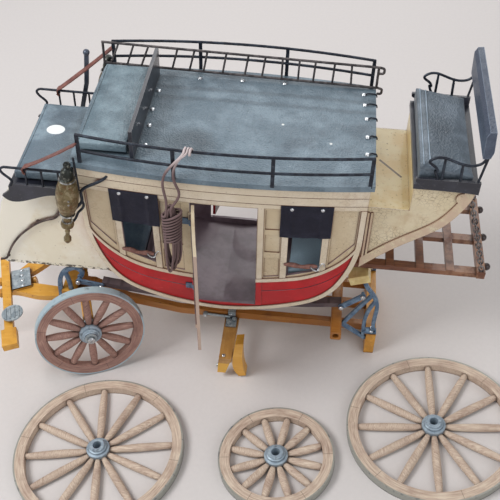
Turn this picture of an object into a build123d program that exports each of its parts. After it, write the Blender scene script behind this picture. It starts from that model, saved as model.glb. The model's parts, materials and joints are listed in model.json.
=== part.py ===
from build123d import *
import os
from math import atan2, cos, degrees, radians, sin, sqrt, tan

# Display model of a mail stagecoach hung on leather braces, with one wheel on and three off.
# Lengths are millimetres and angles are degrees. Each piece is first drawn in the coach's own
# frame: X runs to the rear, Y to the coach's right side, Z up, and the middle plane is y = 0.
# The front gear has a frame of its own on the king bolt, and the loose wheels lie on the floor.

# Wheels
rear_wheel_radius = 76.0
front_wheel_radius = 50.6
tyre_thickness = 1.4
felloe_height = 8.4
felloe_depth = 8.0
spoke_count = 12
spoke_root_radius = 2.4
spoke_swell_radius = 3.5
spoke_swell_share = 0.35
spoke_tip_radius = 2.5
spoke_tenon = 1.5
hub_radius = 10.3
hub_shoulder = 1.0
hub_step_radius = 8.1
hub_face_radius = 6.8
hub_length = 13.5
hub_bore = 7.6
hub_bore_clearance = 0.3

# Middle of everything on the floor, which becomes the origin
origin_x = -55.95
origin_y = -60.9

# Stance of the coach and of its front gear
king_bolt_x = -114.0
king_bolt_radius = 2.5
steering_angle = 19.0
steering_lock = 23.0
wheel_lean = 7.5
front_track_half = 79.5
front_axle_z = 51.0
rear_axle_x = 138.7
rear_axle_z = 63.0

# Axles
axle_width = 10.0
axle_rounding = 2.0
axle_half_length = 60.0
axle_bore_radius = 3.0
axle_bore_depth = 14.0

# Body: half widths at the top and the bottom of the side, in the middle and at the ends
body_front_x = -84.0
body_rear_x = 150.0
body_bottom_z = 84.0
body_top_z = 246.0
body_half_top = 73.5
body_half_top_end = 64.5
body_half_bottom = 56.0
body_half_bottom_end = 49.0
wall = 2.6
end_wall = 3.0
panel_split_y = 46.0
moulding_width = 4.5
moulding_proud = 1.2
frame_proud = 0.8
panel_recess = 0.9
cornice_bottom_z = 222.3
red_line_drop = 13.0
red_line_width = 1.0

# Doors and windows
door_front_x = 8.0
door_rear_x = 63.0
door_bottom_z = 93.0
door_top_z = 221.0
door_gap = 0.5
door_open_angle = 80.0
door_swing = 90.0
hinge_barrel_radius = 1.3
hinge_barrel_length = 7.0
hinge_offset = 1.5
hinge_plate_length = 7.0
hinge_plate_thickness = 1.0
hinge_knuckle_gap = 0.3
curtain_thickness = 1.2
curtain_height = 37.5
soft_gap = 0.3
window_top_z = 224.0

# Roof and its rails
roof_thickness = 4.0
roof_crown = 4.0
roof_overhang = 3.0
rail_z = 278.0
lower_rail_z = 263.0
rail_radius = 1.2
rail_half_end = body_half_top_end + 2.5
rail_half_middle = body_half_top + 3.5
rail_post_width = 3.0
rail_post_thickness = 1.6
rail_front_x = -79.0
rail_rear_x = 150.0

# Ladder guard and rope on the roof
guard_y = rail_half_end - 3.8
guard_front_x = -87.0
guard_rear_x = 154.0
guard_bottom_z = 258.5
guard_height = 20.5
guard_fall = 5.0
guard_wire_radius = 1.1
guard_hook = 4.0
cord_radius = 1.1
hank_y = -(body_half_top + 4.5)

# Driver's seat and boot
boot_half = 45.0
boot_wall = 2.5
boot_bottom_z = 108.0
seat_board_z = 205.0
seat_board_thickness = 6.0
seat_side_thickness = 2.5
seat_side_drop = 9.0
seat_half = 57.0
arm_z = 229.6
arm_radius = 1.1
foot_rod_radius = 1.6
seat_front_x = -153.0
seat_rear_x = -92.0

# Rear boot, rear seat and luggage platform
rear_boot_half = 54.0
footwell_z = 218.0
riser_x = 184.0
rear_seat_z = 243.0
rear_seat_end_x = 232.0
rear_seat_thickness = 5.0
rear_seat_half = 56.0
boot_edge_width = 8.0
platform_z = 140.0
platform_half = 41.0
platform_front_x = 130.0
platform_rear_x = 259.0
end_bar_half = 49.0
chain_radius = 1.2

# Running gear
perch_y = 27.0
perch_width = 6.0
perch_height = 8.0
perch_top_z = 49.0
brace_y = 42.0
brace_width = 8.0
brace_thickness = 5.0
stand_thickness = 3.0
rear_bar_x = 168.0
rear_bar_width = 9.0
rear_bar_height = 26.0
rear_bar_half = 46.0
rear_bar_bottom_z = 26.9
bolster_z = 67.3
bolster_height = 8.0
bolster_half = 46.0
seat_gap = 0.3

# Pole
pole_length = 290.0
pole_root_radius = 4.0
pole_tip_radius = 3.0


def box(x0, x1, y0, y1, z0, z1):
    """A box between two corners."""
    return Pos((x0 + x1) / 2, (y0 + y1) / 2, (z0 + z1) / 2) * Box(abs(x1 - x0), abs(y1 - y0), abs(z1 - z0))


def side_prism(wire_edges, y0, y1):
    """A prism between y0 and y1 of an outline given as edges in the XZ plane."""
    face = make_face(wire_edges)
    solid = extrude(face, amount=y1 - y0, dir=(0, 1, 0))
    return Pos(0, y0, 0) * solid


def xz(x, z):
    return (x, 0, z)


def polygon_xz(points):
    """Closed edges through (x, z) points in the XZ plane."""
    corners = [xz(*p) for p in points]
    return Polyline(*corners, close=True)


def rod(p, q, radius):
    """A round rod between two points."""
    start, end = Vector(*p), Vector(*q)
    plane = Plane(origin=start, z_dir=end - start)
    return extrude(plane * Circle(radius), amount=(end - start).length)


def flat_link(p, q, width, y, thickness):
    """A flat link with round ends in the XZ plane, from (x, z) to (x, z), centred on y."""
    length = sqrt((q[0] - p[0]) ** 2 + (q[1] - p[1]) ** 2)
    angle = degrees(atan2(q[1] - p[1], q[0] - p[0]))
    plate = extrude(SlotCenterToCenter(length, width), amount=thickness / 2, both=True)
    place = Location(((p[0] + q[0]) / 2, y, (p[1] + q[1]) / 2))
    return place * Rotation(0, -angle, 0) * Rotation(90, 0, 0) * plate


def round_sweep(path, radius):
    """A round bar along a path."""
    return sweep(Plane(origin=path @ 0, z_dir=path % 0) * Circle(radius), path=path)


def bent_rod(points, radius):
    """A round rod bent smoothly through points."""
    return round_sweep(Spline(*points), radius)


def offset_line(points, distance):
    """A line of (x, z) points moved sideways, to its right when seen from the left side of the coach."""
    moved = []
    for index, (x, z) in enumerate(points):
        before = points[max(index - 1, 0)]
        after = points[min(index + 1, len(points) - 1)]
        run, rise = after[0] - before[0], after[1] - before[1]
        length = sqrt(run ** 2 + rise ** 2)
        moved.append((x + distance * rise / length, z - distance * run / length))
    return moved


def curved_strip(points, right, left, y0, y1):
    """A prism between two smooth lines that lie right and left of a line of (x, z) points."""
    first = Spline(*[xz(*point) for point in offset_line(points, right)])
    second = Spline(*[xz(*point) for point in reversed(offset_line(points, -left))])
    return side_prism([first, Line(first @ 1, second @ 0), second, Line(second @ 1, first @ 0)], y0, y1)


def bent_strap(points, width, y, thickness):
    """A flat strap bent smoothly through (x, z) points, with round eyes at its ends."""
    strap = curved_strip(points, width / 2, width / 2, y - thickness / 2, y + thickness / 2)
    for x, z in (points[0], points[-1]):
        strap += Pos(x, y, z) * Rotation(90, 0, 0) * Cylinder(width / 2 + 0.4, thickness)
    return strap


def mirrored(shape):
    """The same piece on the other side of the coach."""
    return mirror(shape, about=Plane.XZ)


def both_sides(*shapes):
    """The given pieces and their like on the other side, as one list."""
    return [*shapes, *(mirrored(shape) for shape in shapes)]


nodes = {}


def keep(name, place, shapes):
    """Files a node's solids, moved from their own frame to the stored one."""
    pieces = shapes if isinstance(shapes, list) else [shapes]
    solids = [place * solid for piece in pieces for solid in piece.solids()]
    nodes[name] = solids[0] if len(solids) == 1 else Compound(solids)


# Wheels, drawn about Z with the back face at z = 0 and the outer face up
def disc(radius, height):
    """A round disc that stands on z = 0."""
    return Cylinder(radius, height, align=(Align.CENTER, Align.CENTER, Align.MIN))


def wheel_wood(radius):
    """Felloe ring and swelled spokes of one wheel."""
    rim_outer = radius - tyre_thickness
    rim_inner = rim_outer - felloe_height
    wood = disc(rim_outer, felloe_depth) - disc(rim_inner, felloe_depth)
    spoke_start = hub_radius - spoke_tenon
    length = rim_inner + spoke_tenon - spoke_start
    plane = Plane(origin=(spoke_start, 0, felloe_depth / 2), z_dir=(1, 0, 0))
    spoke = loft([plane * Circle(spoke_root_radius),
                  plane.offset(length * spoke_swell_share) * Circle(spoke_swell_radius),
                  plane.offset(length) * Circle(spoke_tip_radius)])
    spoke -= disc(hub_radius, felloe_depth)
    for index in range(spoke_count):
        wood += Rotation(0, 0, 360 * index / spoke_count) * spoke
    return wood


def wheel_iron(radius):
    """Tyre hoop and turned, stepped hub of one wheel."""
    tyre = disc(radius, felloe_depth) - disc(radius - tyre_thickness, felloe_depth)
    shoulder_z = felloe_depth + hub_shoulder
    step_z = (shoulder_z + hub_length) / 2
    hub_edges = Polyline(
        (hub_bore / 2, 0, 0), (hub_radius - 1, 0, 0), (hub_radius, 0, 1), (hub_radius, 0, shoulder_z),
        (hub_step_radius, 0, shoulder_z + 0.6), (hub_step_radius, 0, step_z),
        (hub_face_radius, 0, step_z + 0.6), (hub_face_radius, 0, hub_length - 0.6),
        (hub_face_radius - 0.6, 0, hub_length), (hub_bore / 2, 0, hub_length), close=True)
    return tyre + revolve(make_face(hub_edges), axis=Axis.Z)


# Places of the three frames
gear_place = Location((king_bolt_x, 0, 0)) * Rotation(0, 0, steering_angle)
lean = radians(wheel_lean)
turn = radians(steering_angle)
face_centre_x = king_bolt_x + front_track_half * sin(turn)
outward = Vector(sin(turn) * cos(lean), -cos(turn) * cos(lean), sin(lean))
face_centre = Vector(face_centre_x, -front_track_half * cos(turn), front_axle_z)
back_centre = face_centre - outward * felloe_depth

rear_contact_x = rear_bar_x + rear_bar_width
rest_pitch = 5.0
for step in range(6):
    pitch = radians(rest_pitch)
    up = Vector(-sin(pitch), 0, cos(pitch))
    along = outward.dot(up)
    wheel_low = back_centre.dot(up) - front_wheel_radius * sqrt(1 - along ** 2)
    wheel_low_x = back_centre.X
    bar_low = Vector(rear_contact_x, 0, rear_bar_bottom_z).dot(up)
    rest_pitch += degrees((bar_low - wheel_low) / (rear_contact_x - wheel_low_x))
pitch = radians(rest_pitch)
floor_level = Vector(rear_contact_x, 0, rear_bar_bottom_z).dot(Vector(-sin(pitch), 0, cos(pitch)))
to_origin = Location((-origin_x, -origin_y, 0))
rest_place = to_origin * Location((0, 0, -floor_level)) * Rotation(0, rest_pitch, 0)
print("rest pitch", rest_pitch, "floor level", floor_level)


on_coach = rest_place
on_gear = rest_place * gear_place


# Mounted front wheel and the three loose wheels on the floor
wheel_plane = Plane(origin=back_centre, x_dir=(cos(turn), sin(turn), 0), z_dir=outward)
keep("front_wheel_left_wood", on_coach * wheel_plane.location, wheel_wood(front_wheel_radius))
keep("front_wheel_left_iron", on_coach * wheel_plane.location, wheel_iron(front_wheel_radius))

# Loose wheels: name, radius and places as x, y and turn about their own axis
loose_wheels = [
    ("loose_rear_wheels", rear_wheel_radius, [(-62.3, -170.2, 8.0), (232.1, -131.7, 2.0)]),
    ("loose_front_wheel", front_wheel_radius, [(96.3, -169.6, 20.0)]),
]
for name, radius, places in loose_wheels:
    spots = [Location((x, y, 0)) * Rotation(0, 0, spin) for x, y, spin in places]
    keep(name + "_wood", to_origin, [spot * wheel_wood(radius) for spot in spots])
    keep(name + "_iron", to_origin, [spot * wheel_iron(radius) for spot in spots])


# Body block: a ruled loft between a bottom outline and a top outline, both bulged in plan
def plan_face(half_middle, half_end, z, front_x, rear_x):
    middle_x = (front_x + rear_x) / 2
    edges = [
        ThreePointArc((front_x, -half_end, z), (middle_x, -half_middle, z), (rear_x, -half_end, z)),
        Line((rear_x, -half_end, z), (rear_x, half_end, z)),
        ThreePointArc((rear_x, half_end, z), (middle_x, half_middle, z), (front_x, half_end, z)),
        Line((front_x, half_end, z), (front_x, -half_end, z)),
    ]
    return make_face(edges)


def body_block(inset):
    front_x = body_front_x - 6
    rear_x = body_rear_x + 6
    low_z = body_bottom_z - 4
    lower = plan_face(body_half_bottom - inset, body_half_bottom_end - inset, low_z, front_x, rear_x)
    upper = plan_face(body_half_top - inset, body_half_top_end - inset, body_top_z + 4, front_x, rear_x)
    return loft([lower, upper], ruled=True)


def side_half(z, inset=0.0):
    """Half width of the body's side in the middle of its length at height z."""
    share = (z - (body_bottom_z - 4)) / (body_top_z - body_bottom_z + 8)
    return body_half_bottom + (body_half_top - body_half_bottom) * share - inset


corner_table = [  # distance from the body's end, height, angle of the edge to the vertical
    (0.0, 186.0, 0.0),
    (14.0, 126.0, 26.3),
    (44.0, 98.5, 68.7),
    ((body_rear_x - body_front_x) / 2, body_bottom_z, 90.0),
]


def profile_edges(inset, top_z):
    """Side outline of the body: straight ends and smooth corners that run into a shallow bottom."""
    edges = []
    for end_x, way in ((body_front_x, 1), (body_rear_x, -1)):
        points = []
        for distance, height, angle in corner_table:
            turn_in = radians(angle)
            x = end_x + way * (distance + inset * cos(turn_in))
            points.append((xz(x, height + inset * sin(turn_in)), (way * sin(turn_in), 0, -cos(turn_in))))
        edges.append(Line(xz(points[0][0][0], top_z), points[0][0]))
        for (start, direction), (end, _) in zip(points, points[1:]):
            edges.append(TangentArc(start, end, tangent=direction))
    edges.append(Line(xz(body_front_x + inset, top_z), xz(body_rear_x - inset, top_z)))
    return edges


body_outer = body_block(0) & side_prism(profile_edges(0, body_top_z), -90, 90)
body_inner = body_block(wall) & side_prism(profile_edges(end_wall, body_top_z + 2), -90, 90)
body_shell = body_outer - body_inner

doorway = side_prism(polygon_xz([
    (door_front_x, door_bottom_z), (door_rear_x, door_bottom_z),
    (door_rear_x, door_top_z), (door_front_x, door_top_z)]), -90, 90)


def wall_cut(front_x, front_z, rear_x, rear_z, top_z):
    """A prism through the side wall with a level top and a slanted lower edge."""
    outline = [(front_x, front_z), (rear_x, rear_z), (rear_x, top_z), (front_x, top_z)]
    return side_prism(polygon_xz(outline), -90, 90)


windows = [  # front x, sill z there, rear x, sill z there
    (-50.5, 150.5, -24.0, 140.0),
    (88.9, 137.0, 116.8, 146.0)]
sunk_panels = [  # front x, lower z there, rear x, lower z there, top z
    (-78.3, 181.0, -57.8, 156.0, 220.5),
    (-16.6, 136.0, 1.0, 134.0, 160.0),
    (-16.6, 167.5, 1.0, 167.5, 189.5),
    (-16.6, 196.0, 1.0, 196.0, 219.5),
    (69.6, 134.0, 82.6, 136.0, 160.0),
    (69.6, 167.5, 82.6, 167.5, 189.5),
    (69.6, 196.0, 82.6, 196.0, 219.5),
    (123.8, 153.0, 144.3, 181.0, 220.5)]
window_cuts = [wall_cut(*window, window_top_z) for window in windows]

# The red lower panels follow the bottom outline; their upper edge is a flatter curve
red_zone = side_prism([
    ThreePointArc(xz(body_front_x, 182), xz(-66, 151), xz(-31, 131)),
    ThreePointArc(xz(-31, 131), xz(33, 125), xz(97, 132)),
    ThreePointArc(xz(97, 132), xz(133, 153), xz(body_rear_x, 184)),
    Line(xz(body_rear_x, 184), xz(body_rear_x + 10, 184)),
    Line(xz(body_rear_x + 10, 184), xz(body_rear_x + 10, 60)),
    Line(xz(body_rear_x + 10, 60), xz(body_front_x - 10, 60)),
    Line(xz(body_front_x - 10, 60), xz(body_front_x - 10, 182)),
    Line(xz(body_front_x - 10, 182), xz(body_front_x, 182)),
], -90, 90)

side_zone = box(-200, 300, -90, -panel_split_y, 60, 300)
side_wall = (body_shell & side_zone) - doorway
for cut in window_cuts:
    side_wall -= cut
panel_skin = body_block(-1) - body_block(panel_recess)
for panel in sunk_panels:
    side_wall -= wall_cut(*panel) & panel_skin
red_line = (Pos(0, 0, -red_line_drop) * red_zone) - (Pos(0, 0, -red_line_drop - red_line_width) * red_zone)
side_wall -= red_line & panel_skin
side_upper = side_wall - red_zone
side_lower = side_wall & red_zone
frame_skin = body_block(-frame_proud) - body_block(0)
jamb_zone = wall_cut(
    door_rear_x + door_gap, body_bottom_z + 9, door_rear_x + 5.4, body_bottom_z + 9, cornice_bottom_z)
side_lower += jamb_zone & frame_skin & side_zone & red_zone
middle_zone = box(-200, 300, -panel_split_y, panel_split_y, 60, 300)
tub = body_shell & middle_zone
front_zone = box(-200, -45, -90, 90, 60, 300)
rear_zone = box(111, 300, -90, 90, 60, 300)
keep("side_panels", on_coach, both_sides(side_upper))
keep("lower_panels", on_coach, both_sides(side_lower))
keep("end_panels", on_coach, [tub & front_zone, tub & rear_zone])
keep("body_floor", on_coach, tub - front_zone - rear_zone)

# Mouldings: the edge round the side, the belt over the red panel, the cornice in three steps, the
# frames beside the windows and the post at the door's rear edge
proud_block = body_block(-moulding_proud) - body_block(0)


def band(offset_from_bottom, width):
    outer = side_prism(profile_edges(offset_from_bottom, body_top_z), -90, 90)
    inner = side_prism(profile_edges(offset_from_bottom + width, body_top_z), -90, 90)
    return outer - inner


body_side = side_prism(profile_edges(0, body_top_z), -90, 90)
edge_zone = side_zone & box(-200, 300, -90, 90, 60, cornice_bottom_z)
edge_band = band(0, moulding_width) & proud_block & edge_zone
red_edge = (Pos(0, 0, moulding_width) * red_zone) - red_zone
belt = (red_edge & proud_block & body_side & side_zone) - doorway - band(0, moulding_width)
mouldings = edge_band + belt
cornice_steps = [  # lower z, upper z, height over the wall
    (cornice_bottom_z, cornice_bottom_z + 4.5, frame_proud),
    (cornice_bottom_z + 5.3, cornice_bottom_z + 14.0, moulding_proud),
    (cornice_bottom_z + 14.8, body_top_z, moulding_proud + 0.4)]
for low_z, high_z, proud in cornice_steps:
    step_skin = body_block(-proud) - body_block(0)
    mouldings += step_skin & box(body_front_x, body_rear_x, -90, -panel_split_y, low_z, high_z)
frame_zones = [jamb_zone]
for front_x, front_z, rear_x, rear_z in windows:
    frame_zones.append(wall_cut(front_x - 5.4, front_z - 6, front_x, front_z - 6, cornice_bottom_z))
    frame_zones.append(wall_cut(rear_x, rear_z - 6, rear_x + 5.4, rear_z - 6, cornice_bottom_z))
for zone in frame_zones:
    mouldings += (zone & frame_skin & side_zone & body_side) - red_zone
for cut in window_cuts:
    mouldings -= cut
keep("mouldings", on_coach, both_sides(mouldings))


# Doors, cut from the same wall and hung on a leaning hinge line at the front jamb
def hinge_point(z):
    """Point of the left door's hinge line at height z."""
    chord = (door_front_x - (body_front_x + body_rear_x) / 2)
    bulge_radius = ((body_rear_x - body_front_x) / 2) ** 2 / (2 * (body_half_top - body_half_top_end))
    fall = chord ** 2 / (2 * bulge_radius)
    return Vector(door_front_x + door_gap / 2, -(side_half(z) - fall) - hinge_offset, z)


def wall_band(start, thickness):
    """A skin outside the body's sides, from start to start + thickness beyond them."""
    return body_block(-start - thickness) - body_block(-start)


door_zone = box(door_front_x + door_gap, door_rear_x - door_gap, -90, 90,
                door_bottom_z + door_gap, door_top_z - door_gap)
door_window = side_prism(polygon_xz([(16, 160), (55, 160), (55, 212), (16, 212)]), -90, 90)
hinge_low = hinge_point(door_bottom_z)
hinge_high = hinge_point(door_top_z)
hinge_axis = Axis(hinge_low, hinge_high - hinge_low)
hinge_heights = (110.0, 196.0)
door_closed = (body_shell & side_zone & door_zone) - door_window
door_closed -= wall_cut(13.0, 137.0, 58.0, 137.0, 154.0) & panel_skin
door_closed -= red_line & panel_skin
door_belt = red_edge & proud_block & side_zone & door_zone
door_closed += door_belt & box(door_front_x + 4, door_rear_x, -90, 0, 0, 200)
hinge_skin = wall_band(0, hinge_plate_thickness)
jamb_leaves = []
for height in hinge_heights:
    middle = height + hinge_barrel_length
    top = middle + hinge_barrel_length
    jamb_plate = box(door_front_x - hinge_plate_length, door_front_x, -90, -panel_split_y, height, middle)
    jamb_barrel = rod(hinge_point(height), hinge_point(middle), hinge_barrel_radius)
    jamb_leaves.append((jamb_plate & hinge_skin) + jamb_barrel)
    door_plate = box(door_front_x + door_gap, door_front_x + hinge_plate_length, -90, -panel_split_y,
                     middle + hinge_knuckle_gap, top)
    door_closed += door_plate & hinge_skin
    door_closed += rod(hinge_point(middle + hinge_knuckle_gap), hinge_point(top), hinge_barrel_radius)
door_open = door_closed.rotate(hinge_axis, -door_open_angle)
keep("door_left", on_coach, door_open)
keep("door_right", on_coach, mirrored(door_open))
keep("door_hinges", on_coach, both_sides(*jamb_leaves))

# Benches against the cabin's ends, with leather cushions and backs
cabin_profile = profile_edges(end_wall + soft_gap, body_top_z)
cabin_space = body_block(wall + soft_gap) & side_prism(cabin_profile, -90, 90)
benches = [box(-90, -38, -70, 70, 106, 128) & body_inner, box(104, 156, -70, 70, 106, 130) & body_inner]
keep("cabin_benches", on_coach, benches)
cabin_cushions = [box(-90, -36, -62, 62, 128 + soft_gap, 138), box(102, 156, -62, 62, 130 + soft_gap, 140)]
keep("cabin_cushions", on_coach, [cushion & cabin_space for cushion in cabin_cushions])
cabin_backs = [box(body_front_x, body_front_x + 9, -58, 58, 142, 216),
               box(body_rear_x - 9, body_rear_x, -58, 58, 144, 216)]
keep("cabin_backs", on_coach, [back & cabin_space for back in cabin_backs])

# Leather window curtains rolled down over the upper part of each window
curtain_skin = wall_band(frame_proud + soft_gap, curtain_thickness)
curtain_top_z = cornice_bottom_z + 5.0
curtains = []
for front_x, front_z, rear_x, rear_z in windows:
    zone = box(front_x - 7.5, rear_x + 7.0, -90, 0, curtain_top_z - curtain_height, curtain_top_z)
    curtains.append(zone & curtain_skin)
keep("window_curtains", on_coach, both_sides(*curtains))

# Roof: a bulged slab with a crowned top
roof_front = body_front_x - roof_overhang
roof_rear = body_rear_x + roof_overhang
roof_plan = plan_face(body_half_top + roof_overhang, body_half_top_end + roof_overhang, body_top_z,
                      roof_front, roof_rear)
roof_slab = extrude(roof_plan, amount=roof_thickness + roof_crown + 2, dir=(0, 0, 1))
crown_edges = [
    Line((roof_front - 5, -90, body_top_z), (roof_front - 5, -90, body_top_z + roof_thickness - 0.6)),
    ThreePointArc((roof_front - 5, -90, body_top_z + roof_thickness - 0.6),
                  (roof_front - 5, 0, body_top_z + roof_thickness + roof_crown),
                  (roof_front - 5, 90, body_top_z + roof_thickness - 0.6)),
    Line((roof_front - 5, 90, body_top_z + roof_thickness - 0.6), (roof_front - 5, 90, body_top_z)),
    Line((roof_front - 5, 90, body_top_z), (roof_front - 5, -90, body_top_z)),
]
crown_prism = extrude(make_face(crown_edges), amount=roof_rear - roof_front + 10, dir=(1, 0, 0))
roof = roof_slab & crown_prism
keep("roof", on_coach, roof)
roof_edge_z = body_top_z + roof_thickness - 0.6


# Roof rails with flat posts
def rail_edge(half_end, half_middle, z, front_x, rear_x):
    middle_x = (front_x + rear_x) / 2
    return ThreePointArc((front_x, -half_end, z), (middle_x, -half_middle, z), (rear_x, -half_end, z))


def rail_bar(z):
    return round_sweep(rail_edge(rail_half_end, rail_half_middle, z, rail_front_x, rail_rear_x), rail_radius)


post_shares = (0.005, 0.335, 0.667, 0.995)
rails = rail_bar(rail_z) + rail_bar(lower_rail_z)
rail_path = rail_edge(rail_half_end, rail_half_middle, roof_edge_z, rail_front_x, rail_rear_x)
for share in post_shares:
    foot = rail_path @ share
    rails += box(foot.X - rail_post_width / 2, foot.X + rail_post_width / 2,
                 foot.Y - rail_post_thickness / 2, foot.Y + rail_post_thickness / 2, roof_edge_z, rail_z)
keep("roof_rails", on_coach, both_sides(rails - roof))

# Wire guard like a ladder, standing inside the right rail
guard_rungs = [  # x at the top wire, x at the bottom wire
    (-72.1, -80.0), (-58.9, -65.8), (-45.9, -53.3), (-20.6, -25.8), (-5.8, -10.7), (5.4, 1.7), (21.9, 18.5),
    (41.0, 38.0), (55.7, 53.0), (70.5, 70.3), (85.1, 84.6), (99.0, 97.8), (115.4, 114.5), (130.0, 130.8)]


def guard_point(x, level):
    """Point of the guard at x: level 1 is the top wire and 0 the bottom wire."""
    share = (x - guard_front_x) / (guard_rear_x - guard_front_x)
    return (x, guard_y, guard_bottom_z + level * guard_height - guard_fall * share)


guard = rod(guard_point(guard_front_x, 1), guard_point(guard_rear_x, 1), guard_wire_radius)
guard += rod(guard_point(guard_front_x, 0), guard_point(guard_rear_x, 0), guard_wire_radius)
guard += rod(guard_point(guard_front_x + 1, 0), guard_point(guard_front_x + 1, 1), guard_wire_radius)
guard += rod(guard_point(guard_rear_x - 1, 0), guard_point(guard_rear_x - 1, 1), guard_wire_radius)
for level in (0, 1):
    x, y, z = guard_point(guard_rear_x, level)
    hook_low = z - guard_hook - 2
    hook_path = FilletPolyline((x, y, z), (x + guard_hook, y, z - 1), (x + guard_hook, y, hook_low),
                               (x, y, hook_low), radius=guard_hook / 2.2)
    guard += round_sweep(hook_path, guard_wire_radius)
for top_x, bottom_x in guard_rungs:
    guard += rod(guard_point(bottom_x, 0), guard_point(top_x, 1), guard_wire_radius - 0.2)
keep("ladder_guard", on_coach, guard)

# Rope hank: a bound bundle outside the left cornice, on two strands from a hitch on the top rail
hank_sections = [  # z, middle x, half width, half depth
    (149.0, -6.0, 3.0, 2.5), (158.0, -6.0, 8.0, 4.5), (186.0, -4.5, 7.0, 4.2), (212.0, -4.5, 9.2, 5.0),
    (226.0, -4.5, 8.0, 4.6), (232.0, -4.5, 4.0, 3.0)]
hank = loft([Pos(x, hank_y, z) * Ellipse(wide, deep) for z, x, wide, deep in hank_sections], ruled=True)
keep("rope_hank", on_coach, hank)
hitch_x = 10.0
hitch_y = -(rail_half_middle - (rail_half_middle - rail_half_end)
            * ((hitch_x - (rail_front_x + rail_rear_x) / 2) / ((rail_rear_x - rail_front_x) / 2)) ** 2)
hitch_reach = rail_radius + soft_gap + cord_radius
hitch = Pos(hitch_x, hitch_y, rail_z) * Rotation(0, 90, 0) * Torus(hitch_reach, cord_radius)
strand_y = -(rail_half_middle + rail_radius + soft_gap + cord_radius)
strand_routes = [  # points in the order of the rope, from the hitch down to the bundle
    [(hitch_x, strand_y, rail_z), (3, strand_y, 273), (-2, strand_y, 262), (-2, strand_y, 250),
     (3, strand_y, 239), (0, hank_y, 228)],
    [(hitch_x - 1, strand_y, rail_z), (0, strand_y, 269), (-8, strand_y, 259), (-11, strand_y, 248),
     (-10, strand_y, 238), (-8, hank_y, 228)]]
strands = hitch
for route in strand_routes:
    corners = [Vector(*point) for point in route]
    radii = []
    for before, corner, after in zip(corners, corners[1:], corners[2:]):
        half_turn = radians((corner - before).get_angle(after - corner)) / 2
        radii.append(0.45 * min((corner - before).length, (after - corner).length) / tan(half_turn))
    print("strand radii", [round(radius, 1) for radius in radii])
    strands += round_sweep(FilletPolyline(*corners, radius=radii), cord_radius)
keep("rope_strands", on_coach, strands - hank)

# Front passenger's cushion and back board on the roof
roof_top_z = body_top_z + roof_thickness + roof_crown
keep("roof_seat_cushion", on_coach, box(-77, -41, -54, 54, roof_top_z + soft_gap, 263))
keep("roof_seat_back", on_coach, box(-39.5, -36.5, -60, 60, body_top_z + roof_thickness, 279) - roof)

# Driver's boot: sides, floor with its rising toe board
boot_rear_x = body_front_x - 0.3
boot_outline = [
    Line(xz(boot_rear_x, seat_board_z), xz(-157, seat_board_z)),
    Line(xz(-157, seat_board_z), xz(-216, 152)),
    ThreePointArc(xz(-216, 152), xz(-199, 121), xz(-166, boot_bottom_z)),
    Line(xz(-166, boot_bottom_z), xz(-72, boot_bottom_z)),
    Line(xz(-72, boot_bottom_z), xz(-72, 130)),
    Line(xz(-72, 130), xz(boot_rear_x, 186)),
    Line(xz(boot_rear_x, 186), xz(boot_rear_x, seat_board_z)),
]
boot_block = side_prism(boot_outline, -boot_half, boot_half) - side_prism(profile_edges(-0.3, 300), -90, 90)
boot_side = boot_block & box(-300, 0, -boot_half, -boot_half + boot_wall, 0, 300)
boot_cavity = side_prism([
    Line(xz(-40, 260), xz(-157, 260)),
    Line(xz(-157, 260), xz(-250, 170)),
    Line(xz(-250, 170), xz(-214.5, 153.5)),
    ThreePointArc(xz(-214.5, 153.5), xz(-197.5, 123), xz(-166, boot_bottom_z + boot_wall)),
    Line(xz(-166, boot_bottom_z + boot_wall), xz(-40, boot_bottom_z + boot_wall)),
    Line(xz(-40, boot_bottom_z + boot_wall), xz(-40, 260)),
], -100, 100)
floor_half = boot_half - boot_wall
boot_floor = (boot_block - boot_cavity) & box(-300, 0, -floor_half, floor_half, 0, 300)
keep("boot_sides", on_coach, both_sides(boot_side))
keep("boot_floor", on_coach, boot_floor)

# Driver's seat: board between two side boards with a scrolled front end
seat_top_z = seat_board_z + seat_board_thickness
seat_bottom_z = seat_board_z - seat_side_drop
seat_board = box(seat_front_x + 8, seat_rear_x, -seat_half, seat_half, seat_board_z, seat_top_z)
scroll_low = (seat_front_x + 1.1, seat_bottom_z + 3.9)
scroll_high = (seat_front_x + 13.1, seat_top_z + 2.5)
seat_side = side_prism([
    ThreePointArc(xz(*scroll_low), xz(seat_front_x + 7.6, seat_board_z + 0.8), xz(*scroll_high)),
    Line(xz(*scroll_high), xz(seat_rear_x, seat_top_z + 0.8)),
    Line(xz(seat_rear_x, seat_top_z + 0.8), xz(seat_rear_x, seat_bottom_z - 3)),
    Spline(xz(seat_rear_x, seat_bottom_z - 3), xz(seat_rear_x - 36, seat_bottom_z + 1.8),
           xz(seat_front_x + 5, seat_bottom_z - 0.5), xz(*scroll_low)),
], -seat_half, -seat_half + seat_side_thickness)
seat_sides = both_sides(seat_side)
keep("driver_seat_board", on_coach, seat_board + seat_sides[0] + seat_sides[1])
keep("driver_cushion", on_coach, box(seat_front_x + 10, seat_rear_x - 4, -seat_half + 6, seat_half - 6,
                                     seat_top_z + soft_gap, seat_top_z + 10))

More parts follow.
